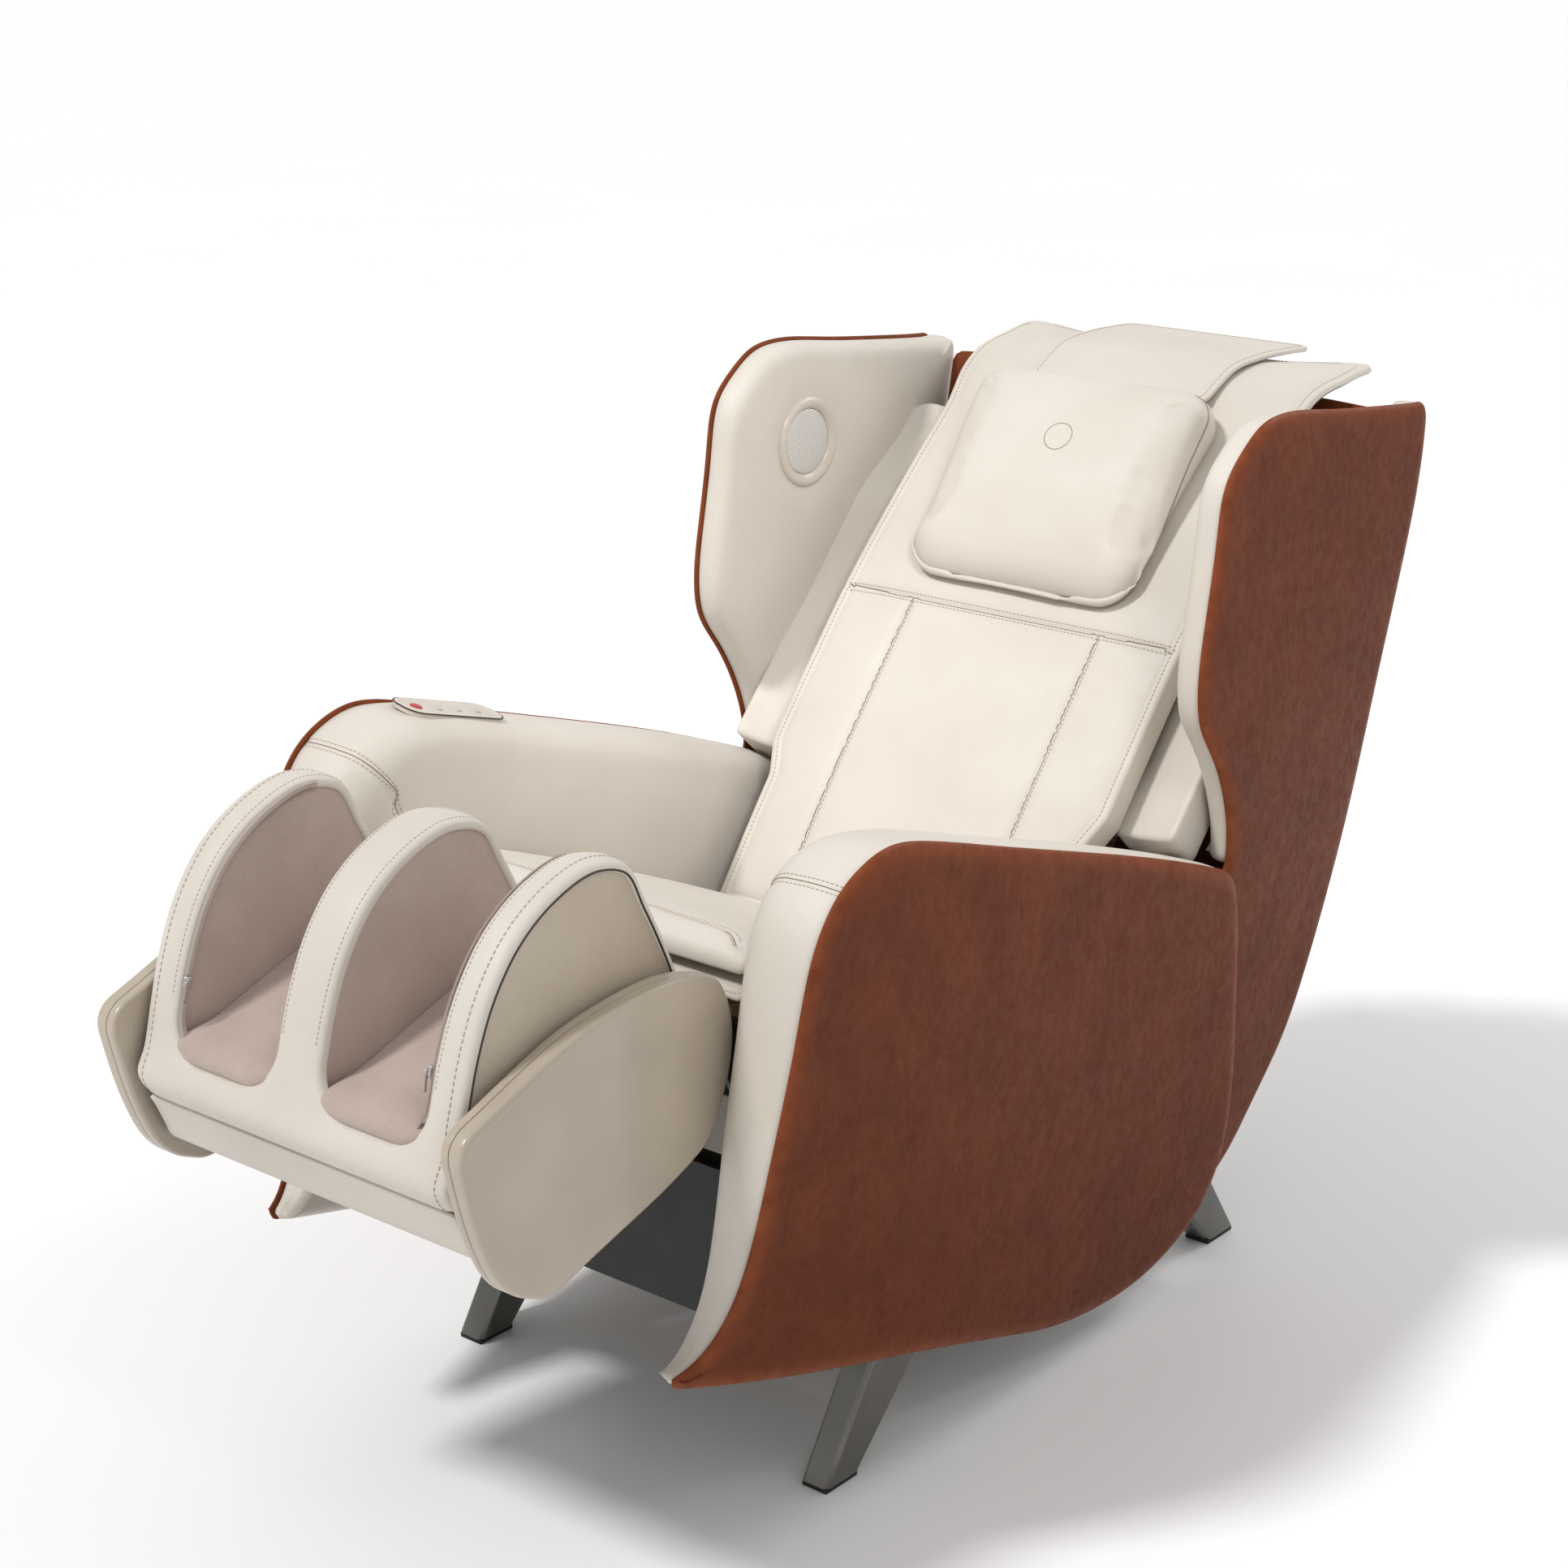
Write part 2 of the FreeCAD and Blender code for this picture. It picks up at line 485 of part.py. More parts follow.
def make_leg_rest():
    ridge = outline(RIDGE_TOP, ("line", [(-152, 606), (-150, 540), (-446, 470), (-468, 500)]))
    outer = slab(ridge, 170, CALF_HALF)
    save("calf_outer_ridges", both(outer))
    save("calf_middle_ridge", slab(ridge, -30, 30))
    trough = outline(("curve", [(-466, 506), (-462, 534), (-400, 553), (-290, 592), (-170, 628)]),
                     ("line", [(-170, 628), (-152, 600), (-151, 541), (-446, 471), (-466, 506)]))
    save("calf_trough_pads", both(slab(trough, 30.3, 169.7)))
    tray = outline(("line", [(-445, 469.5), (-150, 539.5), (-146, 500), (-175, 452), (-225, 428),
                             (-330, 404), (-425, 425)]))
    tray = slab(tray, -CALF_HALF, CALF_HALF)
    inner = outline(("line", [(-438, 466), (-156, 533), (-152, 500), (-180, 457), (-227, 433),
                              (-330, 409), (-420, 429)]))
    tray = tray.cut(slab(inner, -CALF_HALF + 5, CALF_HALF - 5))
    tray = tray.cut(box(LEG_LANE - 22, LEG_LANE + 22, -190, -100, 400, 530))
    for x in (-206, 194):
        tray = tray.cut(box(x, x + 12, -160, -140, 484, 545))
    save("calf_tray", tray)
    arm = block([(-112, 538), (-102, 548), (-112, 558), (-150, 531), (-240, 500), (-240, 478), (-150, 492)],
                197, 203)
    arm = arm.cut(disc(CALF_PIVOT, 6.0 + PIN_CLEARANCE, 190, 210))
    cross = disc((-134, 512), 7, -197, 197)
    lever = lugs([(-140, 518), (-128, 508), (-152, 486), (-164, 504)], LEG_HEAD, LEG_LANE)
    save("calf_frame", fuse([arm, mirror(arm), cross] + lever))
    shield = outline(("curve", [(-396, 380), (-371, 374), (-349, 380), (-280, 402), (-225, 419), (-160, 446)]),
                     ("curve", [(-160, 446), (-128, 500), (-119, 560), (-140, 612)]),
                     ("curve", [(-140, 612), (-210, 629), (-264, 627), (-330, 617), (-400, 594), (-468, 568)]),
                     ("curve", [(-468, 568), (-480, 557), (-483, 541)]),
                     ("curve", [(-483, 541), (-475, 507), (-454, 442), (-437, 410), (-396, 380)]))
    inner_half = slab(shield, SHIELD_X0, SHIELD_PART_X - 0.2)
    outer_half = slab(shield, SHIELD_PART_X, SHIELD_X1)
    save("shield_inner_shells", both(inner_half))
    save("shield_outer_shells", both(outer_half))


make_base()
actuator("tilt", TILT_FOOT, TILT_HEAD, TILT_LANE, 150.0, 57.0, 30.0, 7.0)
actuator("recline", RECLINE_FOOT, RECLINE_HEAD, RECLINE_LANE, 190.0, 67.0, 36.0, 7.0)
actuator("leg", LEG_FOOT, LEG_HEAD, LEG_LANE, 240.0, 135.0, 72.0, 13.0)
make_seat()
make_arms()
make_wings()
back_pad = make_back()
make_carriage()
make_pillow(back_pad)
make_leg_rest()
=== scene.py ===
"""Looks of a compact wing-back massage chair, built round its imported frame.

Shapes are drawn in millimetres: X to the sitter's left, Y from the front feet towards the
rear, Z up. row() turns them into the frame's metres. A shape is mostly a skin over a flat
outline (u, v), with a height h above it, and a placing function that says where it lies.
"""
import json
import math

import bmesh
import bpy
import numpy as np
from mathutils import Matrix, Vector
from mathutils.bvhtree import BVHTree
from mathutils.geometry import delaunay_2d_cdt


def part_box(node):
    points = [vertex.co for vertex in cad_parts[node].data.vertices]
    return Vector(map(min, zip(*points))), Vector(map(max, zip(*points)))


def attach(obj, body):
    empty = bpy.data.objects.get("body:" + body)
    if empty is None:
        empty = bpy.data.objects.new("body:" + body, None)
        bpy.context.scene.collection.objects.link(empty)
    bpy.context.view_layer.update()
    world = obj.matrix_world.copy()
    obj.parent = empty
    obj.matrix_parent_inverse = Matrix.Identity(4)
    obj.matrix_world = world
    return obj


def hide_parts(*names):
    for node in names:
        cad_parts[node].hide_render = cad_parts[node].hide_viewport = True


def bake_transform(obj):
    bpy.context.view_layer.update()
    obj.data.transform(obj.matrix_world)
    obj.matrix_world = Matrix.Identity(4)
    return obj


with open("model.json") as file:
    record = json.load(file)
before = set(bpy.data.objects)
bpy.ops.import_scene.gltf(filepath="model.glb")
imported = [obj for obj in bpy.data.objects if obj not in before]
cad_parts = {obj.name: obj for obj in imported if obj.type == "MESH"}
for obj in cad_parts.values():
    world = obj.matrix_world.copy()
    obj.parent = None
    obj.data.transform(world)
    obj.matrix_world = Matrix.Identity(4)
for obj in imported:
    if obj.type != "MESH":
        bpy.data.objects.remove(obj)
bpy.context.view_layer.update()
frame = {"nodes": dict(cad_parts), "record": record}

# ---- driving dimensions of the frame, in millimetres ----
MM = 0.001
FOOT_INSET = 2.0                 # the front pads start this far behind the zero of Y
Y_ZERO = FOOT_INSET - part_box("foot_pads")[0].y / MM
ARM_HALF_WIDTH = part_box("arm_outer_panel_left")[1].x / MM
WING_HALF_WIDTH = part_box("wing_outer_panel_left")[1].x / MM
ARM_INNER_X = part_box("arm_pad_left")[0].x / MM
WING_INNER_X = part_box("wing_pad_left")[0].x / MM
LOW_WALL_X = 278.0               # inner wall of an arm below the seat
SIDE_TUCK, NOSE_TUCK = 63.6, 50.9
TUCK_TOP, TUCK_SPAN = 689.0, 636.0
SHELL = 9.0                      # thickness of the leather-covered side panels
RECLINE_PIVOT = (450.0, 330.0)
RECLINE_TRAVEL = math.radians(20.0)
BACK_FOOT = np.array([397.0, 430.0])
BACK_HEAD = np.array([876.0, 963.0])
BACK_ALONG = (BACK_HEAD - BACK_FOOT) / np.linalg.norm(BACK_HEAD - BACK_FOOT)
BACK_OUT = np.array([-BACK_ALONG[1], BACK_ALONG[0]])
UNDER_SEAT = [(-75.0, 505.0), (440.0, 330.0)]   # where the arm's inner wall steps outwards
SPEAKER = np.array([681.0, 914.0])
SIDES = (("left", 1.0), ("right", -1.0))

# ---- cloth and thread ----
CLOTH_QUALITY, CLOTH_FRAMES = 4, 20
STITCH = (5.4, 3.8, 0.55)         # pitch, length and radius of the usual stitches
SEAM_RADIUS = 0.55                # of the dark line that stands for the gap of a seam


# ================= points, lines and outlines =================
def row(points):
    """Millimetres from the front feet, as metres in the frame."""
    moved = np.array(points, float).reshape(-1, 3)
    moved[:, 1] -= Y_ZERO
    return moved * MM


def unit(vectors):
    return vectors / np.maximum(np.linalg.norm(vectors, axis=-1, keepdims=True), 1e-9)


def run_along(points):
    """Distance of each point of a line from its start, along the line."""
    return np.concatenate([[0.0], np.cumsum(np.linalg.norm(np.diff(points, axis=0), axis=1))])


def closed_line(loop):
    """A loop's points with the first repeated at the end."""
    return np.vstack([loop, loop[:1]])


def resample(points, step, closed=False):
    """Evenly spaced points along a line, close to step apart."""
    points = np.asarray(points, float)
    if closed:
        points = closed_line(points)
    run = run_along(points)
    count = max(3, int(round(run[-1] / step)))
    stations = np.linspace(0.0, run[-1], count + 1)
    if closed:
        stations = stations[:-1]
    return np.stack([np.interp(stations, run, c) for c in points.T], axis=1)


def curve(points, step=3.0):
    """Smooth line through the points, sampled step apart."""
    points = np.asarray(points, float)
    run = run_along(points)
    slope = np.gradient(points, run, axis=0)
    at = np.linspace(0.0, run[-1], max(4, int(run[-1])))
    k = np.clip(np.searchsorted(run, at, side="right") - 1, 0, len(run) - 2)
    size = (run[k + 1] - run[k])[:, None]
    t = (at - run[k])[:, None] / size
    smooth = ((2 * t**3 - 3 * t**2 + 1) * points[k] + (t**3 - 2 * t**2 + t) * size * slope[k]
              + (3 * t**2 - 2 * t**3) * points[k + 1] + (t**3 - t**2) * size * slope[k + 1])
    return resample(smooth, step)


def rounded(corners, step=2.0):
    """Closed line round corners given as (u, v, radius)."""
    line = []
    count = len(corners)
    for i, (u, v, radius) in enumerate(corners):
        here = np.array([u, v])
        back = unit(np.array(corners[i - 1][:2]) - here)
        ahead = unit(np.array(corners[(i + 1) % count][:2]) - here)
        half = 0.5 * math.acos(max(-1.0, min(1.0, float(back @ ahead))))
        reach = radius / math.tan(half)
        centre = here + unit(back + ahead) * (radius / math.sin(half))
        start, end = here + back * reach - centre, here + ahead * reach - centre
        turn = math.atan2(start[0] * end[1] - start[1] * end[0], float(start @ end))
        for share in np.linspace(0.0, 1.0, max(2, int(abs(turn) * radius / step) + 1)):
            c, s = math.cos(turn * share), math.sin(turn * share)
            line.append(centre + np.array([c * start[0] - s * start[1], s * start[0] + c * start[1]]))
    return np.array(line)


def even(half, step=2.0):
    """Closed line round the corners of the +X half and their mirror images."""
    return rounded(half + [(-u, v, radius) for u, v, radius in reversed(half)], step)


def distance(points, line, closed=False):
    """How far each point is from a line."""
    line = np.asarray(line, float)
    a = line if closed else line[:-1]
    b = np.roll(line, -1, axis=0) if closed else line[1:]
    along = b - a
    away = points[:, None] - a[None]
    size = np.maximum((along**2).sum(-1), 1e-12)
    t = np.clip((away * along).sum(-1) / size, 0.0, 1.0)
    return np.sqrt(((away - t[..., None] * along) ** 2).sum(-1)).min(1)


def inside(points, loop):
    """Which points lie inside a closed loop."""
    a, b = loop, np.roll(loop, -1, axis=0)
    x, y = points[:, :1], points[:, 1:]
    crosses = (a[:, 1] > y) != (b[:, 1] > y)
    run = np.where(b[:, 1] == a[:, 1], 1.0, b[:, 1] - a[:, 1])
    where = a[:, 0] + (y - a[:, 1]) / run * (b[:, 0] - a[:, 0])
    return (crosses & (x < where)).sum(1) % 2 == 1


def twice_area(loop):
    """Twice the signed area of a loop: positive where it turns from u towards v."""
    return loop[:, 0] @ np.roll(loop[:, 1], -1) - loop[:, 1] @ np.roll(loop[:, 0], -1)


class Outline:
    """A closed outline with evenly spaced points, and how far each can move inwards."""

    def __init__(self, points, step=6.0, soften=0):
        loop = resample(points, 2.0, closed=True)
        if twice_area(loop) < 0:
            loop = loop[::-1]
        for _ in range(soften):
            loop = (np.roll(loop, 1, axis=0) + 2 * loop + np.roll(loop, -1, axis=0)) / 4
        self.points = resample(loop, step, closed=True)
        along = unit(np.roll(self.points, -1, axis=0) - np.roll(self.points, 1, axis=0))
        self.inward = np.stack([-along[:, 1], along[:, 0]], axis=1)
        gap = self.points[None] - self.points[:, None]
        ahead = (gap * self.inward[:, None]).sum(-1)
        ball = np.where(ahead > 1e-6, (gap**2).sum(-1) / np.maximum(2 * ahead, 1e-9), 1e6)
        reach = 0.85 * ball.min(1)
        for _ in range(4):
            reach = np.minimum(reach, (np.roll(reach, 1) + np.roll(reach, -1)) / 2 + 0.5)
        self.reach = reach

    def inset(self, amount):
        return self.points + self.inward * np.minimum(amount, self.reach)[:, None]

    def depth(self, points):
        return distance(points, self.points, closed=True)


def cad_outline(node, facing=1.0):
    """Edge of the largest face of a CAD node that looks along X, as (y, z) from its rearmost point."""
    mesh = bmesh.new()
    mesh.from_mesh(frame["nodes"][node].data)
    bmesh.ops.remove_doubles(mesh, verts=mesh.verts, dist=1e-5)
    mesh.normal_update()
    chosen = {f for f in mesh.faces if f.normal.x * facing > 0.7}
    edges = {e for f in chosen for e in f.edges if sum(g in chosen for g in e.link_faces) == 1}
    loops = []
    while edges:
        edge = edges.pop()
        first, here = edge.verts
        loop = [first, here]
        while here != first:
            onward = [e for e in here.link_edges if e in edges]
            if not onward:
                break
            edges.discard(onward[0])
            here = onward[0].other_vert(here)
            loop.append(here)
        loops.append(loop[:-1])
    best = max(loops, key=len)
    line = np.array([(v.co.y / MM + Y_ZERO, v.co.z / MM) for v in best])
    mesh.free()
    if twice_area(line) < 0:
        line = line[::-1]
    return np.roll(line, -int(np.argmax(line @ (1.0, 0.001))), axis=0)


# ================= surfaces =================
def arm_x(y, z):
    """Outer surface of an arm."""
    low = np.maximum(0.0, TUCK_TOP - z)
    nose = NOSE_TUCK * (np.maximum(0.0, 212.0 - y) / 461.0) ** 2.5 * np.minimum(1.0, low / 449.0)
    return ARM_HALF_WIDTH - SIDE_TUCK * (low / TUCK_SPAN) ** 2 - nose


def wing_x(y, z):
    """Outer surface of a wing, which keeps inside the arm as the back reclines."""
    c, s = math.cos(RECLINE_TRAVEL), math.sin(RECLINE_TRAVEL)
    low = RECLINE_PIVOT[1] + (z - RECLINE_PIVOT[1]) * c - (y - RECLINE_PIVOT[0]) * s
    return WING_HALF_WIDTH - SIDE_TUCK * (np.maximum(0.0, TUCK_TOP - low) / TUCK_SPAN) ** 2


def on_side(side):
    """Places (y, z) with height x on the sitter's left (1) or right (-1)."""
    return lambda u, v, h: np.stack([side * h, u, v], axis=1)


def on_back(u, v, h):
    """Places X, the distance up the back and the height over its front plane."""
    flat = BACK_FOOT + v[:, None] * BACK_ALONG + h[:, None] * BACK_OUT
    return np.stack([u, flat[:, 0], flat[:, 1]], axis=1)


class Rail:
    """A curve in the YZ plane. Places X, the distance along it and the height over it."""

    def __init__(self, points):
        self.line = curve(points, 2.0)
        self.run = run_along(self.line)
        self.length = self.run[-1]
        along = unit(np.gradient(self.line, axis=0))
        self.out = np.stack([-along[:, 1], along[:, 0]], axis=1)

    def __call__(self, u, v, h):
        flat = np.stack([np.interp(v, self.run, c) for c in self.line.T], axis=1)
        out = unit(np.stack([np.interp(v, self.run, c) for c in self.out.T], axis=1))
        over = np.clip(v, None, 0.0) + np.clip(v - self.length, 0.0, None)
        ends = np.where((v < 0)[:, None], self.line[1] - self.line[0], self.line[-1] - self.line[-2])
        flat = flat + unit(ends) * over[:, None] + out * h[:, None]
        return np.stack([u, flat[:, 0], flat[:, 1]], axis=1)

    def along(self, y, z):
        """Distance along the curve of its point nearest to (y, z)."""
        return self.run[np.argmin(((self.line - (y, z)) ** 2).sum(1))]


def ease(value, span):
    """0 at zero, 1 from span on, smoothly."""
    t = np.clip(value / span, 0.0, 1.0)
    return t * t * (3 - 2 * t)


def level(height):
    """The same height everywhere on a skin."""
    return lambda q, depth: height


def lay(place, flat, height):
    """The points of a flat line, placed at one height."""
    flat = np.asarray(flat, float)
    return place(flat[:, 0], flat[:, 1], np.full(len(flat), float(height)))


def groove(q, line, width=2.2):
    """1 on a line, fading to 0 beside it."""
    return np.exp(-((distance(q, line) / width) ** 2))


# ================= skins =================
class Skin:
    """Points in millimetres, faces, and for each point its flat place, depth and part."""
    RIM, BACK, FACE = 0, 1, 2

    def __init__(self):
        self.points = np.zeros((0, 3))
        self.flat = np.zeros((0, 2))
        self.depth = np.zeros(0)
        self.part = np.zeros(0, int)
        self.faces = []
        self.face_part = []

    def add(self, points, flat, depth, part):
        start = len(self.points)
        self.points = np.vstack([self.points, points])
        self.flat = np.vstack([self.flat, flat])
        self.depth = np.concatenate([self.depth, np.broadcast_to(depth, len(points))])
        self.part = np.concatenate([self.part, np.full(len(points), part)])
        return start

    def turned(self, side):
        """This skin for the sitter's left (1), or its mirror image for the right (-1)."""
        if side > 0:
            return self
        other = Skin()
        other.__dict__.update(self.__dict__)
        other.points = self.points * (-1.0, 1.0, 1.0)
        return other


def fill(loop, spacing, lines=()):
    """Points inside a loop, with rows of them along the seam lines, and triangles over all."""
    low, high = loop.min(0), loop.max(0)
    rows = np.arange(low[1] + spacing / 2, high[1], spacing * 0.87)
    grid = np.array([(x + (spacing / 2 if i % 2 else 0.0), y) for i, y in enumerate(rows)
                     for x in np.arange(low[0], high[0], spacing)]).reshape(-1, 2)
    offsets = (0.0, 1.6, -1.6, 4.2, -4.2)     # rows beside a seam, so that its groove keeps its shape
    for line in lines:
        grid = grid[distance(grid, line) > spacing * 0.5 + max(offsets)]
    parts = [grid]
    for line in lines:
        fine = resample(line, 5.0)
        along = unit(np.gradient(fine, axis=0))
        across = np.stack([-along[:, 1], along[:, 0]], axis=1)
        parts += [fine + across * offset for offset in offsets]
    extra = np.vstack(parts)
    extra = extra[inside(extra, loop)]
    extra = extra[distance(extra, loop, closed=True) > min(2.0, spacing * 0.5)]
    edge_gap = distance(extra, loop, closed=True)
    seam_gap = np.min([distance(extra, line) for line in lines], axis=0) if lines else edge_gap
    extra = extra[(edge_gap > spacing * 0.5) | ((seam_gap < 5.0) & bool(lines))]
    points = np.vstack([loop, extra])
    edges = [(i, (i + 1) % len(loop)) for i in range(len(loop))]
    _, _, triangles, sources, _, _ = delaunay_2d_cdt([Vector(p) for p in points], edges, [], 0, 1e-5, True)
    names = np.array([s[0] for s in sources])
    triangles = names[np.array(triangles)]
    middles = points[triangles].mean(1)
    return points, triangles[inside(middles, loop)].tolist()


def skin(outline, levels, place, back=None, face=None, spacing=9.0, lines=()):
    """Skin of rings (inset, height) from the back round the rim to the face.

    The heights, and back and face that close the two ends, are functions of the flat points and
    of their depth inside the outline.
    """
    result = Skin()
    count = len(outline.points)
    for inset, height in levels:
        q = outline.inset(inset)
        h = np.broadcast_to(height(q, np.broadcast_to(inset, count)), count)
        result.add(place(q[:, 0], q[:, 1], h), q, inset, Skin.RIM)
    for k in range(len(levels) - 1):
        for i in range(count):
            j = (i + 1) % count
            result.faces.append([k * count + i, k * count + j, (k + 1) * count + j, (k + 1) * count + i])
            result.face_part.append(Skin.RIM)
    for level, height, part in ((0, back, Skin.BACK), (len(levels) - 1, face, Skin.FACE)):
        if height is None:
            continue
        ring = outline.inset(levels[level][0])
        q, triangles = fill(ring, spacing if part == Skin.FACE else spacing * 1.8,
                            lines if part == Skin.FACE else ())
        q = q[count:]
        depth = outline.depth(q) if len(q) else np.zeros(0)
        start = result.add(place(q[:, 0], q[:, 1], height(q, depth) + 0 * depth), q, depth, part)
        names = [level * count + i for i in range(count)] + list(range(start, start + len(q)))
        for t in triangles:
            result.faces.append([names[k] for k in t])
            result.face_part.append(part)
    return result


def cushion_levels(back, face, back_round, face_round, bulge=0.0, steps=5, walls=3):
    """Rings of a padded shape: back edge, bulging wall, face edge. A round is (width, drop)."""
    (back_width, back_drop), (face_width, face_drop) = back_round, face_round
    levels = []
    for a in np.linspace(math.pi / 2, 0.0, steps):
        width, drop = back_width * (1 - math.cos(a)), back_drop * (1 - math.sin(a))
        levels.append((width, lambda q, d, drop=drop: back(q, d) + drop))
    for share in np.linspace(0.0, 1.0, walls + 2)[1:-1]:
        def between(q, d, share=share):
            low, high = back(q, d * 0) + back_drop, face(q, d * 0) - face_drop
            return low + (high - low) * share
        levels.append((-bulge * math.sin(math.pi * share), between))
    for a in np.linspace(0.0, math.pi / 2, steps):
        width, drop = face_width * (1 - math.cos(a)), face_drop * (1 - math.sin(a))
        levels.append((width, lambda q, d, drop=drop: face(q, d) - drop))
    return levels


def padded_skin(outline, place, back, face, back_round, face_round, bulge=0.0, spacing=9.0, lines=(),
                steps=5, walls=3):
    levels = cushion_levels(back, face, back_round, face_round, bulge, steps, walls)
    return skin(outline, levels, place, back, face, spacing, lines)


def link(obj):
    """Puts an object into the scene."""
    bpy.context.scene.collection.objects.link(obj)
    return obj


def closed_mesh(name, points, faces):
    mesh = bpy.data.meshes.new(name)
    mesh.from_pydata(row(points).tolist(), [], faces)
    work = bmesh.new()
    work.from_mesh(mesh)
    bmesh.ops.recalc_face_normals(work, faces=work.faces)
    work.to_mesh(mesh)
    work.free()
    mesh.update()
    return mesh


def inflate(shape, held, cap, pressure=4.0):
    """Fills a skin out with cloth under pressure, keeping the held points where they are."""
    mesh = closed_mesh("pattern", shape.points, shape.faces)
    obj = link(bpy.data.objects.new("pattern", mesh))
    pins = obj.vertex_groups.new(name="held")
    pins.add([int(i) for i in np.nonzero(held)[0]], 1.0, "REPLACE")
    cloth = obj.modifiers.new("Cloth", "CLOTH")
    cloth.settings.quality = CLOTH_QUALITY
    cloth.settings.vertex_group_mass = "held"
    cloth.settings.use_pressure = True
    cloth.settings.uniform_pressure_force = pressure
    cloth.settings.effector_weights.gravity = 0.0
    cloth.collision_settings.use_collision = False
    cloth.point_cache.frame_start, cloth.point_cache.frame_end = 1, CLOTH_FRAMES
    for step in range(1, CLOTH_FRAMES + 1):
        bpy.context.scene.frame_set(step)
    done = obj.evaluated_get(bpy.context.evaluated_depsgraph_get())
    after = np.zeros(len(mesh.vertices) * 3)
    done.data.vertices.foreach_get("co", after)
    moved = after.reshape(-1, 3) - row(shape.points)
    size = np.linalg.norm(moved, axis=1, keepdims=True)
    shape.points = shape.points + moved * np.minimum(1.0, cap * MM / np.maximum(size, 1e-9)) / MM
    bpy.data.objects.remove(obj)
    bpy.data.meshes.remove(mesh)
    bpy.context.scene.frame_set(1)


# ================= pieces =================
def piece(name, points, faces, body, paints, slot, replaces=(), face_paint=None, values=None):
    """Adds an object that rides on a body. paints are its materials; values are point attributes."""
    mesh = closed_mesh(name, points, faces)
    for paint in paints if isinstance(paints, (list, tuple)) else [paints]:
        mesh.materials.append(paint)
    if face_paint is not None:
        mesh.polygons.foreach_set("material_index", np.array(face_paint, np.int32))
    for key, numbers in (values or {}).items():
        attribute = mesh.attributes.new(key, "FLOAT", "POINT")
        attribute.data.foreach_set("value", np.array(numbers, np.float32))
    mesh.shade_smooth()
    obj = link(bpy.data.objects.new(name, mesh))
    if isinstance(body, str):
        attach(obj, body)
    else:
        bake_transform(obj)
    if replaces:
        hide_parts(*replaces)
    return obj


def skin_piece(name, shape, body, slot, replaces=(), paints=None, parts=None, values=None):
    """A piece from a skin. parts gives the material index of its rim, back and face."""
    face_paint = [parts[p] for p in shape.face_part] if parts else None
    obj = piece(name, shape.points, shape.faces, body, paints or PAINT[slot], slot, replaces, face_paint,
                values)
    return obj


class Surface:
    """Finds places on a finished piece, for what is sewn or set on it."""

    def __init__(self, *objects):
        self.trees = [BVHTree.FromPolygons([v.co for v in o.data.vertices],
                                           [list(p.vertices) for p in o.data.polygons]) for o in objects]

    def snap(self, points):
        """Nearest places on the piece, and its normals there."""
        places, normals = [], []
        for p in row(points):
            hits = (tree.find_nearest(Vector(p)) for tree in self.trees)
            place, normal, _, _ = min(hits, key=lambda hit: hit[3])
            places.append(tuple(place))
            normals.append(tuple(normal))
        places = np.array(places) / MM
        places[:, 1] += Y_ZERO
        return places, np.array(normals)


def frames_along(line, normals):
    """Tangent, across and up directions at each point of a line."""
    along = unit(np.gradient(line, axis=0))
    across = unit(np.cross(normals, along))
    return along, across, np.cross(along, across)


def tube(line, radius, normals=None, flat=1.0, closed=False, sides=8):
    """Points and faces of a round or flattened tube along a line."""
    line = np.asarray(line, float)
    if normals is None:
        normals = np.tile((0.31, 0.27, 0.91), (len(line), 1))
    if closed:
        wrapped = np.vstack([line[-1:], line, line[:1]])
        along = unit(wrapped[2:] - wrapped[:-2])
        across = unit(np.cross(normals, along))
        up = np.cross(along, across)
    else:
        along, across, up = frames_along(line, normals)
    turns = np.linspace(0.0, 2 * math.pi, sides, endpoint=False)
    radius = np.broadcast_to(radius, len(line))
    points = np.vstack([line[i] + radius[i] * (np.outer(np.cos(turns), across[i])
                                               + flat * np.outer(np.sin(turns), up[i]))
                        for i in range(len(line))])
    faces = []
    rings = len(line) if closed else len(line) - 1
    for i in range(rings):
        a, b = i * sides, ((i + 1) % len(line)) * sides
        for k in range(sides):
            n = (k + 1) % sides
            faces.append([a + k, a + n, b + n, b + k])
    if not closed:
        for end, sign in ((0, -1.0), (len(line) - 1, 1.0)):
            tip = len(points)
            cap = line[end] + along[end] * radius[end] * 0.6 * sign * min(1.0, flat)
            points = np.vstack([points, cap])
            ring = [end * sides + k for k in range(sides)]
            faces += [[ring[k], ring[(k + 1) % sides], tip] for k in range(sides)]
    return points, faces


def gather(parts):
    """One set of points and faces from several."""
    points, faces, start = [], [], 0
    for p, f in parts:
        points.append(p)
        faces += [[start + k for k in face] for face in f]
        start += len(p)
    return np.vstack(points), faces


def stitch_row(line, normals, pitch=STITCH[0], length=STITCH[1], radius=STITCH[2]):
    """A row of thread stitches lying on a surface."""
    run = run_along(line)
    parts = []
    shape = np.array([-0.5, -0.42, -0.2, 0.2, 0.42, 0.5])
    swell = np.array([0.25, 0.8, 1.0, 1.0, 0.8, 0.25])
    for centre in np.arange(pitch / 2, run[-1], pitch):
        at = np.clip(centre + shape * length, 0.0, run[-1])
        bit = np.stack([np.interp(at, run, c) for c in line.T], axis=1)
        up = unit(np.array([[np.interp(centre, run, c) for c in normals.T]]))
        bit = bit + up * (0.25 - 0.9 * np.abs(shape[:, None]) ** 3)
        parts.append(tube(bit, radius * swell, np.tile(up, (len(bit), 1)), 0.8, sides=6))
    return gather(parts) if parts else None


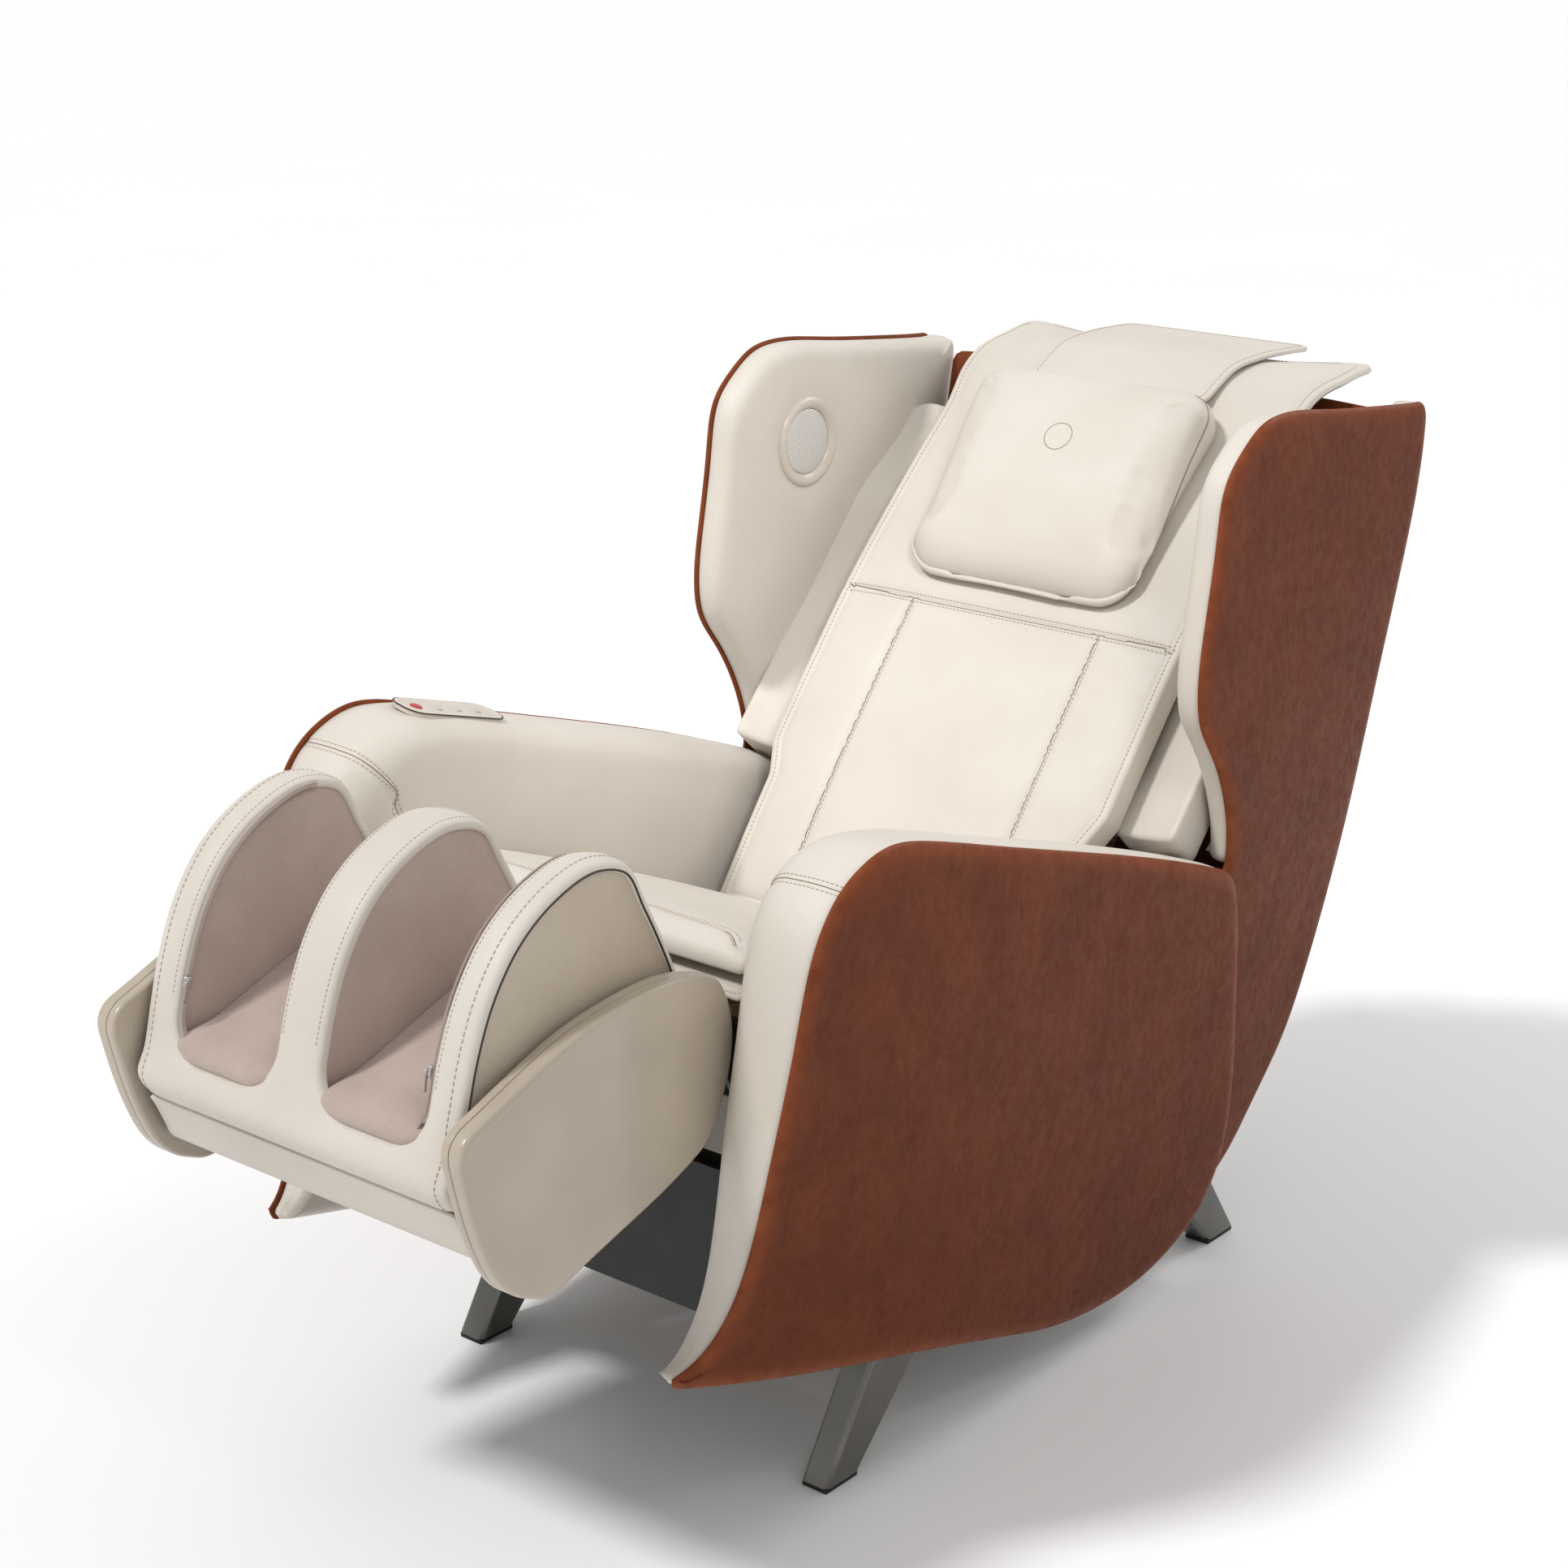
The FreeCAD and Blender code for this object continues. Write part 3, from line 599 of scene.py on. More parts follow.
def sew(name, surface, place, flat, lift, body, stitch=STITCH, paint="thread", slot="cream_leather"):
    """Stitches along a line of a skin's flat outline, or a seam line where stitch is None."""
    line, normals = surface.snap(lay(place, flat, lift))
    made = stitch_row(line, normals, *stitch) if stitch else tube(line, SEAM_RADIUS, normals)
    piece(name, *made, body, PAINT[paint], slot)


def lathe(profile, centre, axis, steps=48):
    """Points and faces turned round an axis from (radius, height) pairs."""
    axis = unit(np.array(axis, float))
    side = unit(np.cross(axis, (0.37, 0.21, 0.9)))
    other = np.cross(axis, side)
    turns = np.linspace(0.0, 2 * math.pi, steps, endpoint=False)
    ring = np.outer(np.cos(turns), side) + np.outer(np.sin(turns), other)
    points, faces = [], []
    for radius, height in profile:
        points.append(np.array(centre) + ring * max(radius, 0.01) + axis * height)
    for i in range(len(profile) - 1):
        for k in range(steps):
            n = (k + 1) % steps
            faces.append([i * steps + k, i * steps + n, (i + 1) * steps + n, (i + 1) * steps + k])
    for end in (0, len(profile) - 1):
        faces.append([end * steps + k for k in range(steps)])
    return np.vstack(points), faces


# ================= materials =================
def linear(r, g, b):
    """Linear colour from 8-bit values."""
    return tuple((c / 255 / 12.92) if c <= 10 else ((c / 255 + 0.055) / 1.055) ** 2.4
                 for c in (r, g, b)) + (1.0,)


class Paint:
    """A procedural material. Lengths of patterns are in millimetres."""

    def __init__(self, name, **sockets):
        self.material = bpy.data.materials.new(name)
        self.material.use_nodes = True
        self.tree = self.material.node_tree
        self.shader = self.tree.nodes["Principled BSDF"]
        for socket, value in sockets.items():
            self.shader.inputs[socket.replace("_", " ")].default_value = value
        self.where = self.node("TexCoord").outputs["Object"]

    def node(self, kind, inputs=(), **settings):
        node = self.tree.nodes.new("ShaderNode" + kind)
        for key, value in settings.items():
            setattr(node, key, value)
        for key, value in inputs:
            if isinstance(value, bpy.types.NodeSocket):
                self.tree.links.new(value, node.inputs[key])
            else:
                node.inputs[key].default_value = value
        return node

    def place(self, stretch):
        return self.node("Mapping", [("Vector", self.where), ("Scale", stretch)]).outputs[0]

    def noise(self, size, detail=2.0, stretch=(1, 1, 1), distortion=0.0):
        return self.node("TexNoise", [("Vector", self.place(stretch)), ("Scale", 1000.0 / size),
                                      ("Detail", detail), ("Distortion", distortion)]).outputs["Fac"]

    def cells(self, size, feature="DISTANCE_TO_EDGE", randomness=1.0, stretch=(1, 1, 1)):
        return self.node("TexVoronoi", [("Vector", self.place(stretch)), ("Scale", 1000.0 / size),
                                        ("Randomness", randomness)], feature=feature).outputs["Distance"]

    def span(self, value, low, high, to_low=0.0, to_high=1.0):
        return self.node("MapRange", [("Value", value), ("From Min", low), ("From Max", high),
                                      ("To Min", to_low), ("To Max", to_high)]).outputs[0]

    def math(self, operation, a, b=0.0):
        return self.node("Math", [(0, a), (1, b)], operation=operation).outputs[0]

    def creases(self, size, stretch=(1, 1, 1), sharp=14.0):
        """Sparse crease lines: 1 on a line, 0 away from it."""
        wave = self.math("ABSOLUTE", self.math("SUBTRACT", self.noise(size, 3.0, stretch, 0.6), 0.5))
        line = self.math("POWER", self.math("SUBTRACT", 1.0, wave), sharp * 4)
        return self.math("MULTIPLY", line, self.span(self.noise(size * 2.2, 1.0), 0.45, 0.62))

    def mix(self, factor, a, b):
        node = self.node("Mix", data_type="RGBA")
        for index, value in ((0, factor), (6, a), (7, b)):
            if isinstance(value, bpy.types.NodeSocket):
                self.tree.links.new(value, node.inputs[index])
            else:
                node.inputs[index].default_value = value
        return node.outputs[2]

    def attribute(self, name):
        return self.node("Attribute", attribute_name=name).outputs["Fac"]

    def done(self, colour=None, roughness=None, bumps=()):
        """Joins up the colour, the roughness and bumps (height, depth in millimetres, strength)."""
        for socket, value in (("Base Color", colour), ("Roughness", roughness)):
            if value is not None:
                self.tree.links.new(value, self.shader.inputs[socket])
        normal = None
        for height, depth, strength in bumps:
            inputs = [("Height", height), ("Distance", depth * MM), ("Strength", strength)]
            if normal is not None:
                inputs.append(("Normal", normal))
            normal = self.node("Bump", inputs).outputs[0]
        if normal is not None:
            self.tree.links.new(normal, self.shader.inputs["Normal"])
        return self.material


def smooth_leather(name, dark, light, grain=1.5, depth=0.10, roughness=0.46):
    p = Paint(name, Specular_IOR_Level=0.3)
    tone = p.span(p.noise(160, 3.0), 0.3, 0.7)
    pebbles = p.span(p.cells(grain), 0.0, 0.16)
    shade = p.mix(tone, linear(*dark), linear(*light))
    # Painted shade: the leather is darkened a little along the creases of its grain.
    crease_shaded = p.mix(p.span(pebbles, 0.0, 1.0, 0.10, 0.0), shade, linear(*[0.72 * c for c in dark]))
    rough = p.span(p.noise(30, 2.0), 0.3, 0.7, roughness - 0.05, roughness + 0.06)
    return p.done(crease_shaded, rough, [(pebbles, depth, 0.55), (p.noise(0.5, 2.0), 0.03, 0.5),
                                (p.noise(45, 2.0), 0.5, 0.25)])


def aged_leather():
    """Tan panels: mottled, creased upright, paler where the edge rolls over, partly as worn leather and
    partly as a painted highlight.
    """
    p = Paint("tan_leather", Specular_IOR_Level=0.1)
    base = p.mix(p.span(p.noise(70, 4.0, (1, 1, 0.8)), 0.32, 0.68), linear(92, 42, 19), linear(104, 50, 24))
    mottle = p.span(p.noise(11, 4.0, (1, 1, 0.75), 0.8), 0.35, 0.65)
    base = p.mix(p.math("MULTIPLY", mottle, 0.22), base, linear(80, 37, 17))
    creases = p.creases(16, (1, 1, 0.4))
    fine = p.creases(6, (1, 1, 0.5), 10.0)
    base = p.mix(p.math("MULTIPLY", creases, 0.55), base, linear(66, 32, 18))
    # Paler rolled edge: partly worn leather, partly a painted highlight where the edge faces the light.
    edge = p.math("MULTIPLY", p.attribute("edge"), p.span(p.noise(18, 3.0), 0.25, 0.7, 0.35, 0.9))
    base = p.mix(edge, base, linear(132, 70, 42))
    rough = p.span(mottle, 0.0, 1.0, 0.40, 0.56)
    return p.done(base, rough, [(creases, 0.35, -0.5), (fine, 0.15, -0.4), (p.cells(1.1), 0.08, 0.5),
                                (p.noise(30, 3.0), 0.7, 0.25)])


def knit():
    p = Paint("taupe_knit", Roughness=0.92, Specular_IOR_Level=0.2, Sheen_Weight=0.35,
              Sheen_Roughness=0.45)
    loops = p.span(p.cells(1.15, "F1", 1.0, (1, 1, 1.25)), 0.0, 0.6, 1.0, 0.0)
    fuzz = p.noise(0.7, 3.0)
    shade = p.mix(p.span(p.noise(60, 3.0), 0.3, 0.7), linear(184, 166, 156), linear(196, 179, 169))
    # Painted shade: darker in the gaps between the knit loops.
    shade = p.mix(p.span(loops, 0.0, 1.0, 0.35, 0.0), shade, linear(138, 120, 110))
    return p.done(shade, None, [(loops, 0.25, 0.5), (fuzz, 0.1, 0.5)])


def moulded(name, colour, roughness=0.3, texture=0.02, coat=0.0, metallic=0.0):
    """Moulded or painted surface with a faint ripple and uneven polish."""
    p = Paint(name, Specular_IOR_Level=0.5, Coat_Weight=coat, Coat_Roughness=0.12, Metallic=metallic)
    shade = p.mix(p.span(p.noise(90, 2.0), 0.3, 0.7), linear(*colour), linear(*[0.94 * c for c in colour]))
    rough = p.span(p.noise(40, 1.0), 0.3, 0.7, roughness - 0.02, roughness + 0.03)
    return p.done(shade, rough, [(p.noise(1.2, 2.0), texture, 0.4)])


def brushed(name, colour, roughness, stretch):
    p = Paint(name, Metallic=1.0, Specular_IOR_Level=0.5)
    lines = p.noise(1.6, 3.0, stretch)
    shade = p.mix(p.span(lines, 0.3, 0.7), linear(*colour), linear(*[min(255, 1.15 * c) for c in colour]))
    rough = p.span(lines, 0.3, 0.7, roughness - 0.05, roughness + 0.07)
    return p.done(shade, rough, [(lines, 0.02, 0.25)])


def perforated():
    """Pale mesh with rows of small round holes."""
    p = Paint("speaker_mesh", Roughness=0.42, Metallic=0.2)
    turned = p.node("Mapping", [("Vector", p.where), ("Rotation", (0.0, math.pi / 2, 0.0))]).outputs[0]
    holes = p.node("TexVoronoi", [("Vector", turned), ("Scale", 1000 / 2.2), ("Randomness", 0.0)],
                   voronoi_dimensions="2D").outputs["Distance"]
    open_share = p.span(holes, 0.26, 0.34, 1.0, 0.0)
    shade = p.mix(open_share, linear(226, 224, 220), linear(120, 116, 112))
    return p.done(shade, None, [(open_share, 0.4, -0.6)])


def plywood():
    p = Paint("plywood", Roughness=0.7)
    grain = p.noise(9, 4.0, (0.12, 1, 1), 1.2)
    return p.done(p.mix(p.span(grain, 0.35, 0.65), linear(176, 138, 96), linear(205, 170, 126)), None,
                  [(grain, 0.15, 0.3)])


PAINT = {
    "cream_leather": smooth_leather("cream_leather", (203, 195, 184), (210, 203, 193)),
    # grained_leather is darker than the cream leather: partly its own taupe tone, partly painted shade for
    # the ridges' outer side walls.
    "grained_leather": smooth_leather("grained_leather", (178, 164, 146), (190, 177, 160), 2.4, 0.32, 0.55),
    "tan_leather": aged_leather(),
    "taupe_knit": knit(),
    # cream_plastic and pale_plastic are one plastic: cream_plastic is made darker as painted shade for the
    # shields' faces that turn from the light; pale_plastic is its lit colour.
    "cream_plastic": moulded("cream_plastic", (182, 169, 152), 0.3, 0.004, 0.15),
    "pale_plastic": moulded("pale_plastic", (206, 196, 184), 0.3, 0.004, 0.15),
    "black_plastic": moulded("black_plastic", (26, 25, 25), 0.5, 0.06),
    "gunmetal": moulded("gunmetal", (118, 116, 110), 0.27, 0.004, 0.0, 1.0),
    "frame_steel": moulded("frame_steel", (44, 44, 46), 0.42, 0.05, 0.0, 0.3),
    "bright_steel": brushed("bright_steel", (196, 196, 198), 0.22, (0.06, 1, 1)),
    "rubber": moulded("rubber", (22, 22, 22), 0.72, 0.1),
    "speaker_mesh": perforated(),
    "red_key": moulded("red_key", (176, 32, 26), 0.3, 0.01, 0.2),
    "grey_key": moulded("grey_key", (196, 188, 178), 0.36, 0.01),
    "foam": moulded("foam", (206, 196, 170), 0.85, 0.3),
    "plywood": plywood(),
    "electronics": moulded("electronics", (38, 42, 46), 0.45, 0.05),
    "thread": moulded("thread", (176, 163, 147), 0.7, 0.1),
    "seam": moulded("seam", (52, 42, 36), 0.6, 0.05),
    "seam_soft": moulded("seam_soft", (128, 112, 96), 0.7, 0.05),
    "tan_thread": moulded("tan_thread", (150, 96, 68), 0.7, 0.1),
    "zip_tape": moulded("zip_tape", (176, 163, 153), 0.8, 0.1),
    "zip_metal": moulded("zip_metal", (186, 180, 176), 0.34, 0.01, 0.0, 0.6),
}


def paint_cad():
    """Gives every CAD node the finish of its slot."""
    for part in frame["record"]["subparts"]:
        mesh = frame["nodes"][part["node"]].data
        mesh.materials.clear()
        mesh.materials.append(PAINT[part["material_slot"]])


# ================= arms =================
PANEL_LIP = 4.5                   # width of a tan panel's edge left showing round the cream cover
ARM_SEAM = curve([(-104.0, 719.0), (-93.0, 697.0), (-72.0, 655.0), (-57.0, 605.0), (-54.0, 545.0),
                  (-64.0, 480.0), (-78.0, 420.0)], 12.0)


def arm_wall(q, depth):
    """Inner face of an arm: gently crowned, and set back below the seat."""
    y, z = q[:, 0], q[:, 1]
    (y0, z0), (y1, z1) = UNDER_SEAT
    below = z0 + (y - y0) * (z1 - z0) / (y1 - y0) - z
    behind = y - np.interp(z, [180, 300, 420, 620], [-150, -135, -76, -60])
    low = ease(below, 14.0) * ease(behind, 14.0)
    seam = groove(q, ARM_SEAM)
    crown = 3.0 * ease(depth - 25.0, 70.0) * (1 - low)
    return ARM_INNER_X + (LOW_WALL_X - ARM_INNER_X) * low - crown + 1.6 * seam


def side_panel(outline, outer_x, turn, fade):
    """Leather-covered outer panel of a side, and how near each point is to its edge."""
    def outer(q, depth):
        return outer_x(q[:, 0], q[:, 1])

    def under(q, depth):
        return outer(q, depth) - SHELL

    panel = padded_skin(outline, on_side(1.0), under, outer, (4.0, 1.5), (turn, SHELL - 1.8), 0.0, 14.0,
                        steps=8, walls=1)
    # The nearness to the edge drives the tan paint's paler edge: partly wear, partly a painted highlight.
    return panel, np.exp(-((panel.depth / fade) ** 2)) * (panel.part != Skin.BACK)


def make_arms():
    whole = Outline(cad_outline("arm_outer_panel_left"), 6.0, 5)
    panel, edge = side_panel(whole, arm_x, 20.0, 14.0)

    def seam_side(q, depth):
        """Where the cover meets the outer panel; round the rear it only returns a little."""
        rear = ease(q[:, 0] - 470.0, 14.0) * ease(544.0 - q[:, 1], 8.0)
        short = arm_wall(q, depth * 0 + 50.0) + 16.0
        return (1 - rear) * (arm_x(q[:, 0], q[:, 1]) - SHELL - 0.3) + rear * short

    def hollow(q, depth):
        return arm_wall(q, depth * 0 + 90.0) + 14.0

    def inner_turn(rise, gap):
        """Height between the hollow back and the seam side, to lead one into the other."""
        return lambda q, d: np.minimum(hollow(q, d) + rise, seam_side(q, d) - gap)

    lip = 0.8 + (PANEL_LIP - 0.8) * (1 - ease(whole.points[:, 0] + 20.0, 90.0))
    outline = Outline(whole.inset(lip), 6.0)
    rim = outline.points
    room = seam_side(rim, np.zeros(len(rim))) - arm_wall(rim, np.zeros(len(rim)))
    front = ease(-60.0 - rim[:, 0], 70.0) * ease(rim[:, 1] - 150.0, 120.0)
    turn = np.minimum(54.0, 0.45 * room)
    wide = np.minimum(50.0, 0.42 * room) + 14.0 * front * ease(room - 60.0, 60.0)
    dip = 1.4 * np.exp(-((distance(rim, ARM_SEAM) / 4.0) ** 2))
    levels = [(46.0, hollow), (20.0, inner_turn(6.0, 3.0)), (10.0, inner_turn(22.0, 2.0)),
              (10.0, seam_side), (2.0, seam_side)]
    levels += cushion_levels(seam_side, arm_wall, (0.6, -1.5), (wide, -turn), 2.0, 7, 6)[6:]
    levels = [(inset + dip, height) for inset, height in levels]
    cover = skin(outline, levels, on_side(1.0), hollow, arm_wall, 10.0, [np.array(ARM_SEAM[1:])])
    free = (cover.part == Skin.FACE) & (cover.depth > 40) & (distance(cover.flat, ARM_SEAM) > 6)
    inflate(cover, ~free, 2.5, 3.0)
    for name, side in SIDES:
        skin_piece("arm_panel_" + name, panel.turned(side), "seat_body", "tan_leather",
                   ["arm_outer_panel_" + name], values={"edge": edge})
        shape = cover.turned(side)
        obj = skin_piece("arm_cover_" + name, shape, "seat_body", "cream_leather",
                         ["arm_pad_" + name, "arm_front_trim_" + name, "arm_inner_panels"])
        sew_arm(name, side, outline, shape, len(levels), obj)


def column(shape, count, levels, station):
    """Points of a skin's rings at a fractional station round the outline."""
    low = int(math.floor(station)) % count
    share = station - math.floor(station)
    rings = np.arange(levels) * count
    return shape.points[rings + low] * (1 - share) + shape.points[rings + (low + 1) % count] * share


def sew_arm(name, side, outline, shape, levels, obj):
    """Seam across the arm's front top, with a stitch row each side of it."""
    count = len(outline.points)
    crossing = int(np.argmin(((outline.points - ARM_SEAM[0]) ** 2).sum(1)))
    surface = Surface(obj)
    face = np.array(ARM_SEAM[1:])
    along = unit(np.gradient(face, axis=0))
    across = np.stack([along[:, 1], -along[:, 0]], axis=1)
    for shift, kind in ((0.0, "seam"), (5.0, "stitches_a"), (-5.0, "stitches_b")):
        over = column(shape, count, levels, crossing + shift / 6.0)[5:]
        beside = face + shift * across
        beside = beside[beside[:, 1] < over[-1, 2] - 10]
        down = lay(on_side(side), beside, ARM_INNER_X)
        line, normals = surface.snap(curve(np.vstack([over, down]), 3.0))
        made = stitch_row(line, normals) if shift else tube(line, 0.6, normals)
        paint = PAINT["thread" if shift else "seam_soft"]
        piece(f"arm_{kind}_{name}", *made, "seat_body", paint, "cream_leather")


# ================= wings =================
def wing_face(q, depth):
    """Inner face of a wing, pulled in round the speaker."""
    off = np.linalg.norm(q - SPEAKER, axis=1)
    dimple = 4.0 * np.exp(-(((off - 52.0) / 16.0) ** 2)) + 9.0 * (1 - ease(off - 40.0, 12.0))
    return WING_INNER_X - 6.0 * ease(depth - 10.0, 60.0) + dimple


def make_wings():
    def seam_side(q, depth):
        return wing_x(q[:, 0], q[:, 1]) - SHELL - 0.3

    whole = Outline(cad_outline("wing_outer_panel_left"), 6.0, 5)
    panel, edge = side_panel(whole, wing_x, 18.0, 13.0)
    visible = Outline(cad_outline("wing_pad_left", -1.0), 6.0, 5)
    visible = Outline(visible.inset(PANEL_LIP * (1 - ease(-visible.inward[:, 0] - 0.2, 0.4))), 6.0)
    front = 1 - 0.85 * ease(-visible.inward[:, 0] - 0.2, 0.4)
    turns = np.linspace(0, 2 * math.pi, 60)
    rings = [SPEAKER + r * np.stack([np.cos(turns), np.sin(turns)], axis=1) for r in (44.0, 58.0)]
    pad = padded_skin(visible, on_side(1.0), seam_side, wing_face, (2.0, -1.0), (24.0 * front, -16.0 * front),
                      1.0, 9.0, rings, steps=6, walls=3)
    near = np.linalg.norm(pad.flat - SPEAKER, axis=1)
    inflate(pad, (pad.part != Skin.FACE) | (pad.depth < 24) | (near < 66), 3.0, 3.0)
    for name, side in SIDES:
        skin_piece("wing_panel_" + name, panel.turned(side), "backrest", "tan_leather",
                   ["wing_outer_panel_" + name], values={"edge": edge})
        skin_piece("wing_cover_" + name, pad.turned(side), "backrest", "cream_leather", ["wing_pad_" + name])
        make_speaker(name, side)


def make_speaker(name, side):
    centre, axis = (side * WING_INNER_X, *SPEAKER), (-side, 0.0, 0.0)
    steps = 72
    ring = [(40.0, -8.0), (40.0, 0.5), (40.6, 2.0), (42.4, 3.6), (45.5, 5.4), (49.0, 6.4), (52.0, 6.0),
            (54.2, 4.4), (55.2, 2.2), (55.4, -2.0), (52.0, -8.0)]
    points, faces = lathe(ring, centre, axis, steps)
    last = (len(ring) - 1) * steps
    faces = faces[:-2] + [[last + k, last + (k + 1) % steps, (k + 1) % steps, k] for k in range(steps)]
    piece("speaker_ring_" + name, points, faces, "backrest", PAINT["pale_plastic"], "cream_plastic",
          ["speaker_rings"])
    radius = 39.8
    dome = [(0.0, -2.0), (radius, -2.0)] + [(radius * math.cos(a), 1.0 + 3.0 * math.sin(a))
                                           for a in np.linspace(0.0, math.pi / 2, 9)]
    piece("speaker_grille_" + name, *lathe(dome, centre, axis, steps), "backrest", PAINT["speaker_mesh"],
          "speaker_mesh", ["speaker_grilles"])


# ================= back =================
def flat_back(*places):
    """(y, z) points from (distance up the back, distance behind its front plane)."""
    return [tuple(BACK_FOOT + s * BACK_ALONG - t * BACK_OUT) for s, t in places]


PAD_RAIL = Rail(flat_back((-8, 4), (120, -9), (300, -18), (430, -20), (600, -8), (700, 2))
                + [(897, 985), (925, 1002), (960, 1011), (1000, 1014), (1058, 1010)])
PAD_SEAM_X = 132.0
HEM = 14.0


def make_back_pad():
    cross = PAD_RAIL.along(660, 752)
    top = PAD_RAIL.length - 2.0
    half = [(222, 4, 10), (222, 170, 34), (239, 214, 34), (240, 700, 60), (247, top, 16)]
    outline = Outline(even(half), 6.0)
    seams = [np.array([(sign * PAD_SEAM_X, 16.0), (sign * PAD_SEAM_X, cross)]) for sign in (-1, 1)]
    seams.append(np.array([(-236.0, cross), (236.0, cross)]))
    hem = closed_line(outline.inset(HEM))

    def lift(q):
        """The lap's two rear corners stand up a little."""
        return 10.0 * ease(q[:, 1] - (top - 80.0), 80.0) * ease(np.abs(q[:, 0]) - 110.0, 130.0)

    def face(q, depth):
        sewn = sum(groove(q, line, 2.4) for line in seams)
        return (3.5 * ease(depth - HEM, 60.0) + lift(q) - 2.4 * np.minimum(sewn, 1.0)
                - 1.6 * np.exp(-(((depth - HEM) / 2.2) ** 2)))

    def back(q, depth):
        return -34.0 + 24.0 * ease(q[:, 1] - 640.0, 110.0) + lift(q)

    pad = padded_skin(outline, PAD_RAIL, back, face, (3.0, 3.0), (6.0, 5.0), 1.2, 10.0, [hem] + seams,
                      walls=2)
    free = (pad.part == Skin.FACE) & (pad.depth > HEM + 5) & (pad.flat[:, 1] < 760)
    for line in seams:
        free &= distance(pad.flat, line) > 5.0
    inflate(pad, ~free, 5.0, 3.0)
    obj = skin_piece("back_pad_cover", pad, "backrest", "cream_leather", ["back_pad"])
    surface = Surface(obj)

    def sew_pad(name, flat, stitch=STITCH):
        sew("back_pad_" + name, surface, PAD_RAIL, resample(flat, 3.0), 3.0, "backrest", stitch,
            "thread" if stitch else "seam_soft")

    sew_pad("hem_stitches", closed_line(outline.inset(9.5)))
    for k, sign in enumerate((-1, 1)):
        x = sign * PAD_SEAM_X
        sew_pad(f"seam_{k}", [(x, 20.0), (x, cross)], None)
        sew_pad(f"seam_stitches_{k}", [(x + 4.5, 20.0), (x + 4.5, cross - 5)])
    sew_pad("cross_seam", [(-228.0, cross), (228.0, cross)], None)
    sew_pad("cross_stitches_a", [(-226.0, cross + 5), (226.0, cross + 5)])
    sew_pad("cross_stitches_b", [(-226.0, cross - 5), (226.0, cross - 5)])


PILLOW_LOW, PILLOW_HIGH, PILLOW_HALF = 448.0, 727.0, 158.0


def shape_columns(shape, count):
    """Ring points of a skin, indexed by ring and by station round the outline."""
    rings = int(np.sum(shape.part == Skin.RIM)) // count
    return shape.points[:rings * count].reshape(rings, count, 3)


def make_pillow():
    middle = (PILLOW_LOW + PILLOW_HIGH) / 2
    half = [(PILLOW_HALF, PILLOW_LOW, 46), (PILLOW_HALF - 3, middle, 900), (PILLOW_HALF - 1, PILLOW_HIGH, 40)]
    outline = Outline(even(half), 5.0)

    def rear(q, depth):
        return np.interp(q[:, 1], [448, 520, 600, 700, 727], [29, 26, 19, 8, 8])

    def front(q, depth):
        h = np.interp(q[:, 1], [448, 500, 560, 640, 700, 727], [50, 62, 70, 76, 77, 72])
        return h - 3.0 + 3.0 * ease(depth - 30.0, 80.0)

    pillow = padded_skin(outline, on_back, rear, front, (12.0, 8.0), (36.0, 24.0), 4.0, 9.0, steps=8, walls=4)
    height = (pillow.points[:, 1:] - BACK_FOOT) @ BACK_OUT
    seam_h = front(pillow.flat, 0 * pillow.depth) - 31.0
    held = (pillow.part == Skin.BACK) | ((pillow.part == Skin.RIM) & (np.abs(height - seam_h) < 5.0))
    held |= (pillow.part == Skin.RIM) & (height < seam_h)
    inflate(pillow, held, 4.0, 3.0)
    obj = skin_piece("pillow_cover", pillow, "pillow", "cream_leather", ["pillow"])
    count = len(outline.points)
    columns = shape_columns(pillow, count)
    heights = (columns[:, :, 1:] - BACK_FOOT) @ BACK_OUT
    line = np.array([[np.interp(seam_h[k], heights[:, k], columns[:, k, c]) for c in range(3)]
                     for k in range(count)])
    normals = unit(line - lay(on_back, [(0.0, middle)], 30.0))
    paint = PAINT["seam_soft"]
    piece("pillow_piping", *tube(line, 0.9, normals, closed=True), "pillow", paint, "cream_leather")
    turns = np.linspace(0, 2 * math.pi, 64)[:-1]
    ring = [(18.0 * math.cos(a), 628.0 + 18.0 * math.sin(a)) for a in turns]
    line, normals = Surface(obj).snap(lay(on_back, ring, 90.0))
    piece("pillow_ring", *tube(line - 0.15 * normals, 0.5, normals, closed=True), "pillow", paint,
          "cream_leather")


def hemmed_sheet(name, rail, outline, thick, body, replaces, hem):
    """A thin padded flap with a stitched hem."""
    def face(q, depth):
        return 1.2 * ease(depth - hem, 40.0) - 1.0 * np.exp(-(((depth - hem) / 2.0) ** 2))

    shape = padded_skin(outline, rail, level(-thick), face, (2.0, 2.0), (3.0, 2.5), 0.6, 10.0,
                        [closed_line(outline.inset(hem))], steps=4, walls=1)
    obj = skin_piece(name, shape, body, "cream_leather", replaces)
    ring = resample(closed_line(outline.inset(hem - 3.5)), 3.0)
    sew(name + "_stitches", Surface(obj), rail, ring, 2.0, body)


def make_flap():
    rail = Rail([(870, 988), (900, 1004), (935, 1020), (990, 1026), (1060, 1025), (1108, 1022)])
    end = rail.length
    outline = Outline(rounded([(-126, 2, 12), (126, 2, 12), (131, end - 1, 16), (-131, end - 1, 16)]), 6.0)
    hemmed_sheet("pillow_flap_cover", rail, outline, 6.5, "backrest", ["pillow_flap"], 11.0)


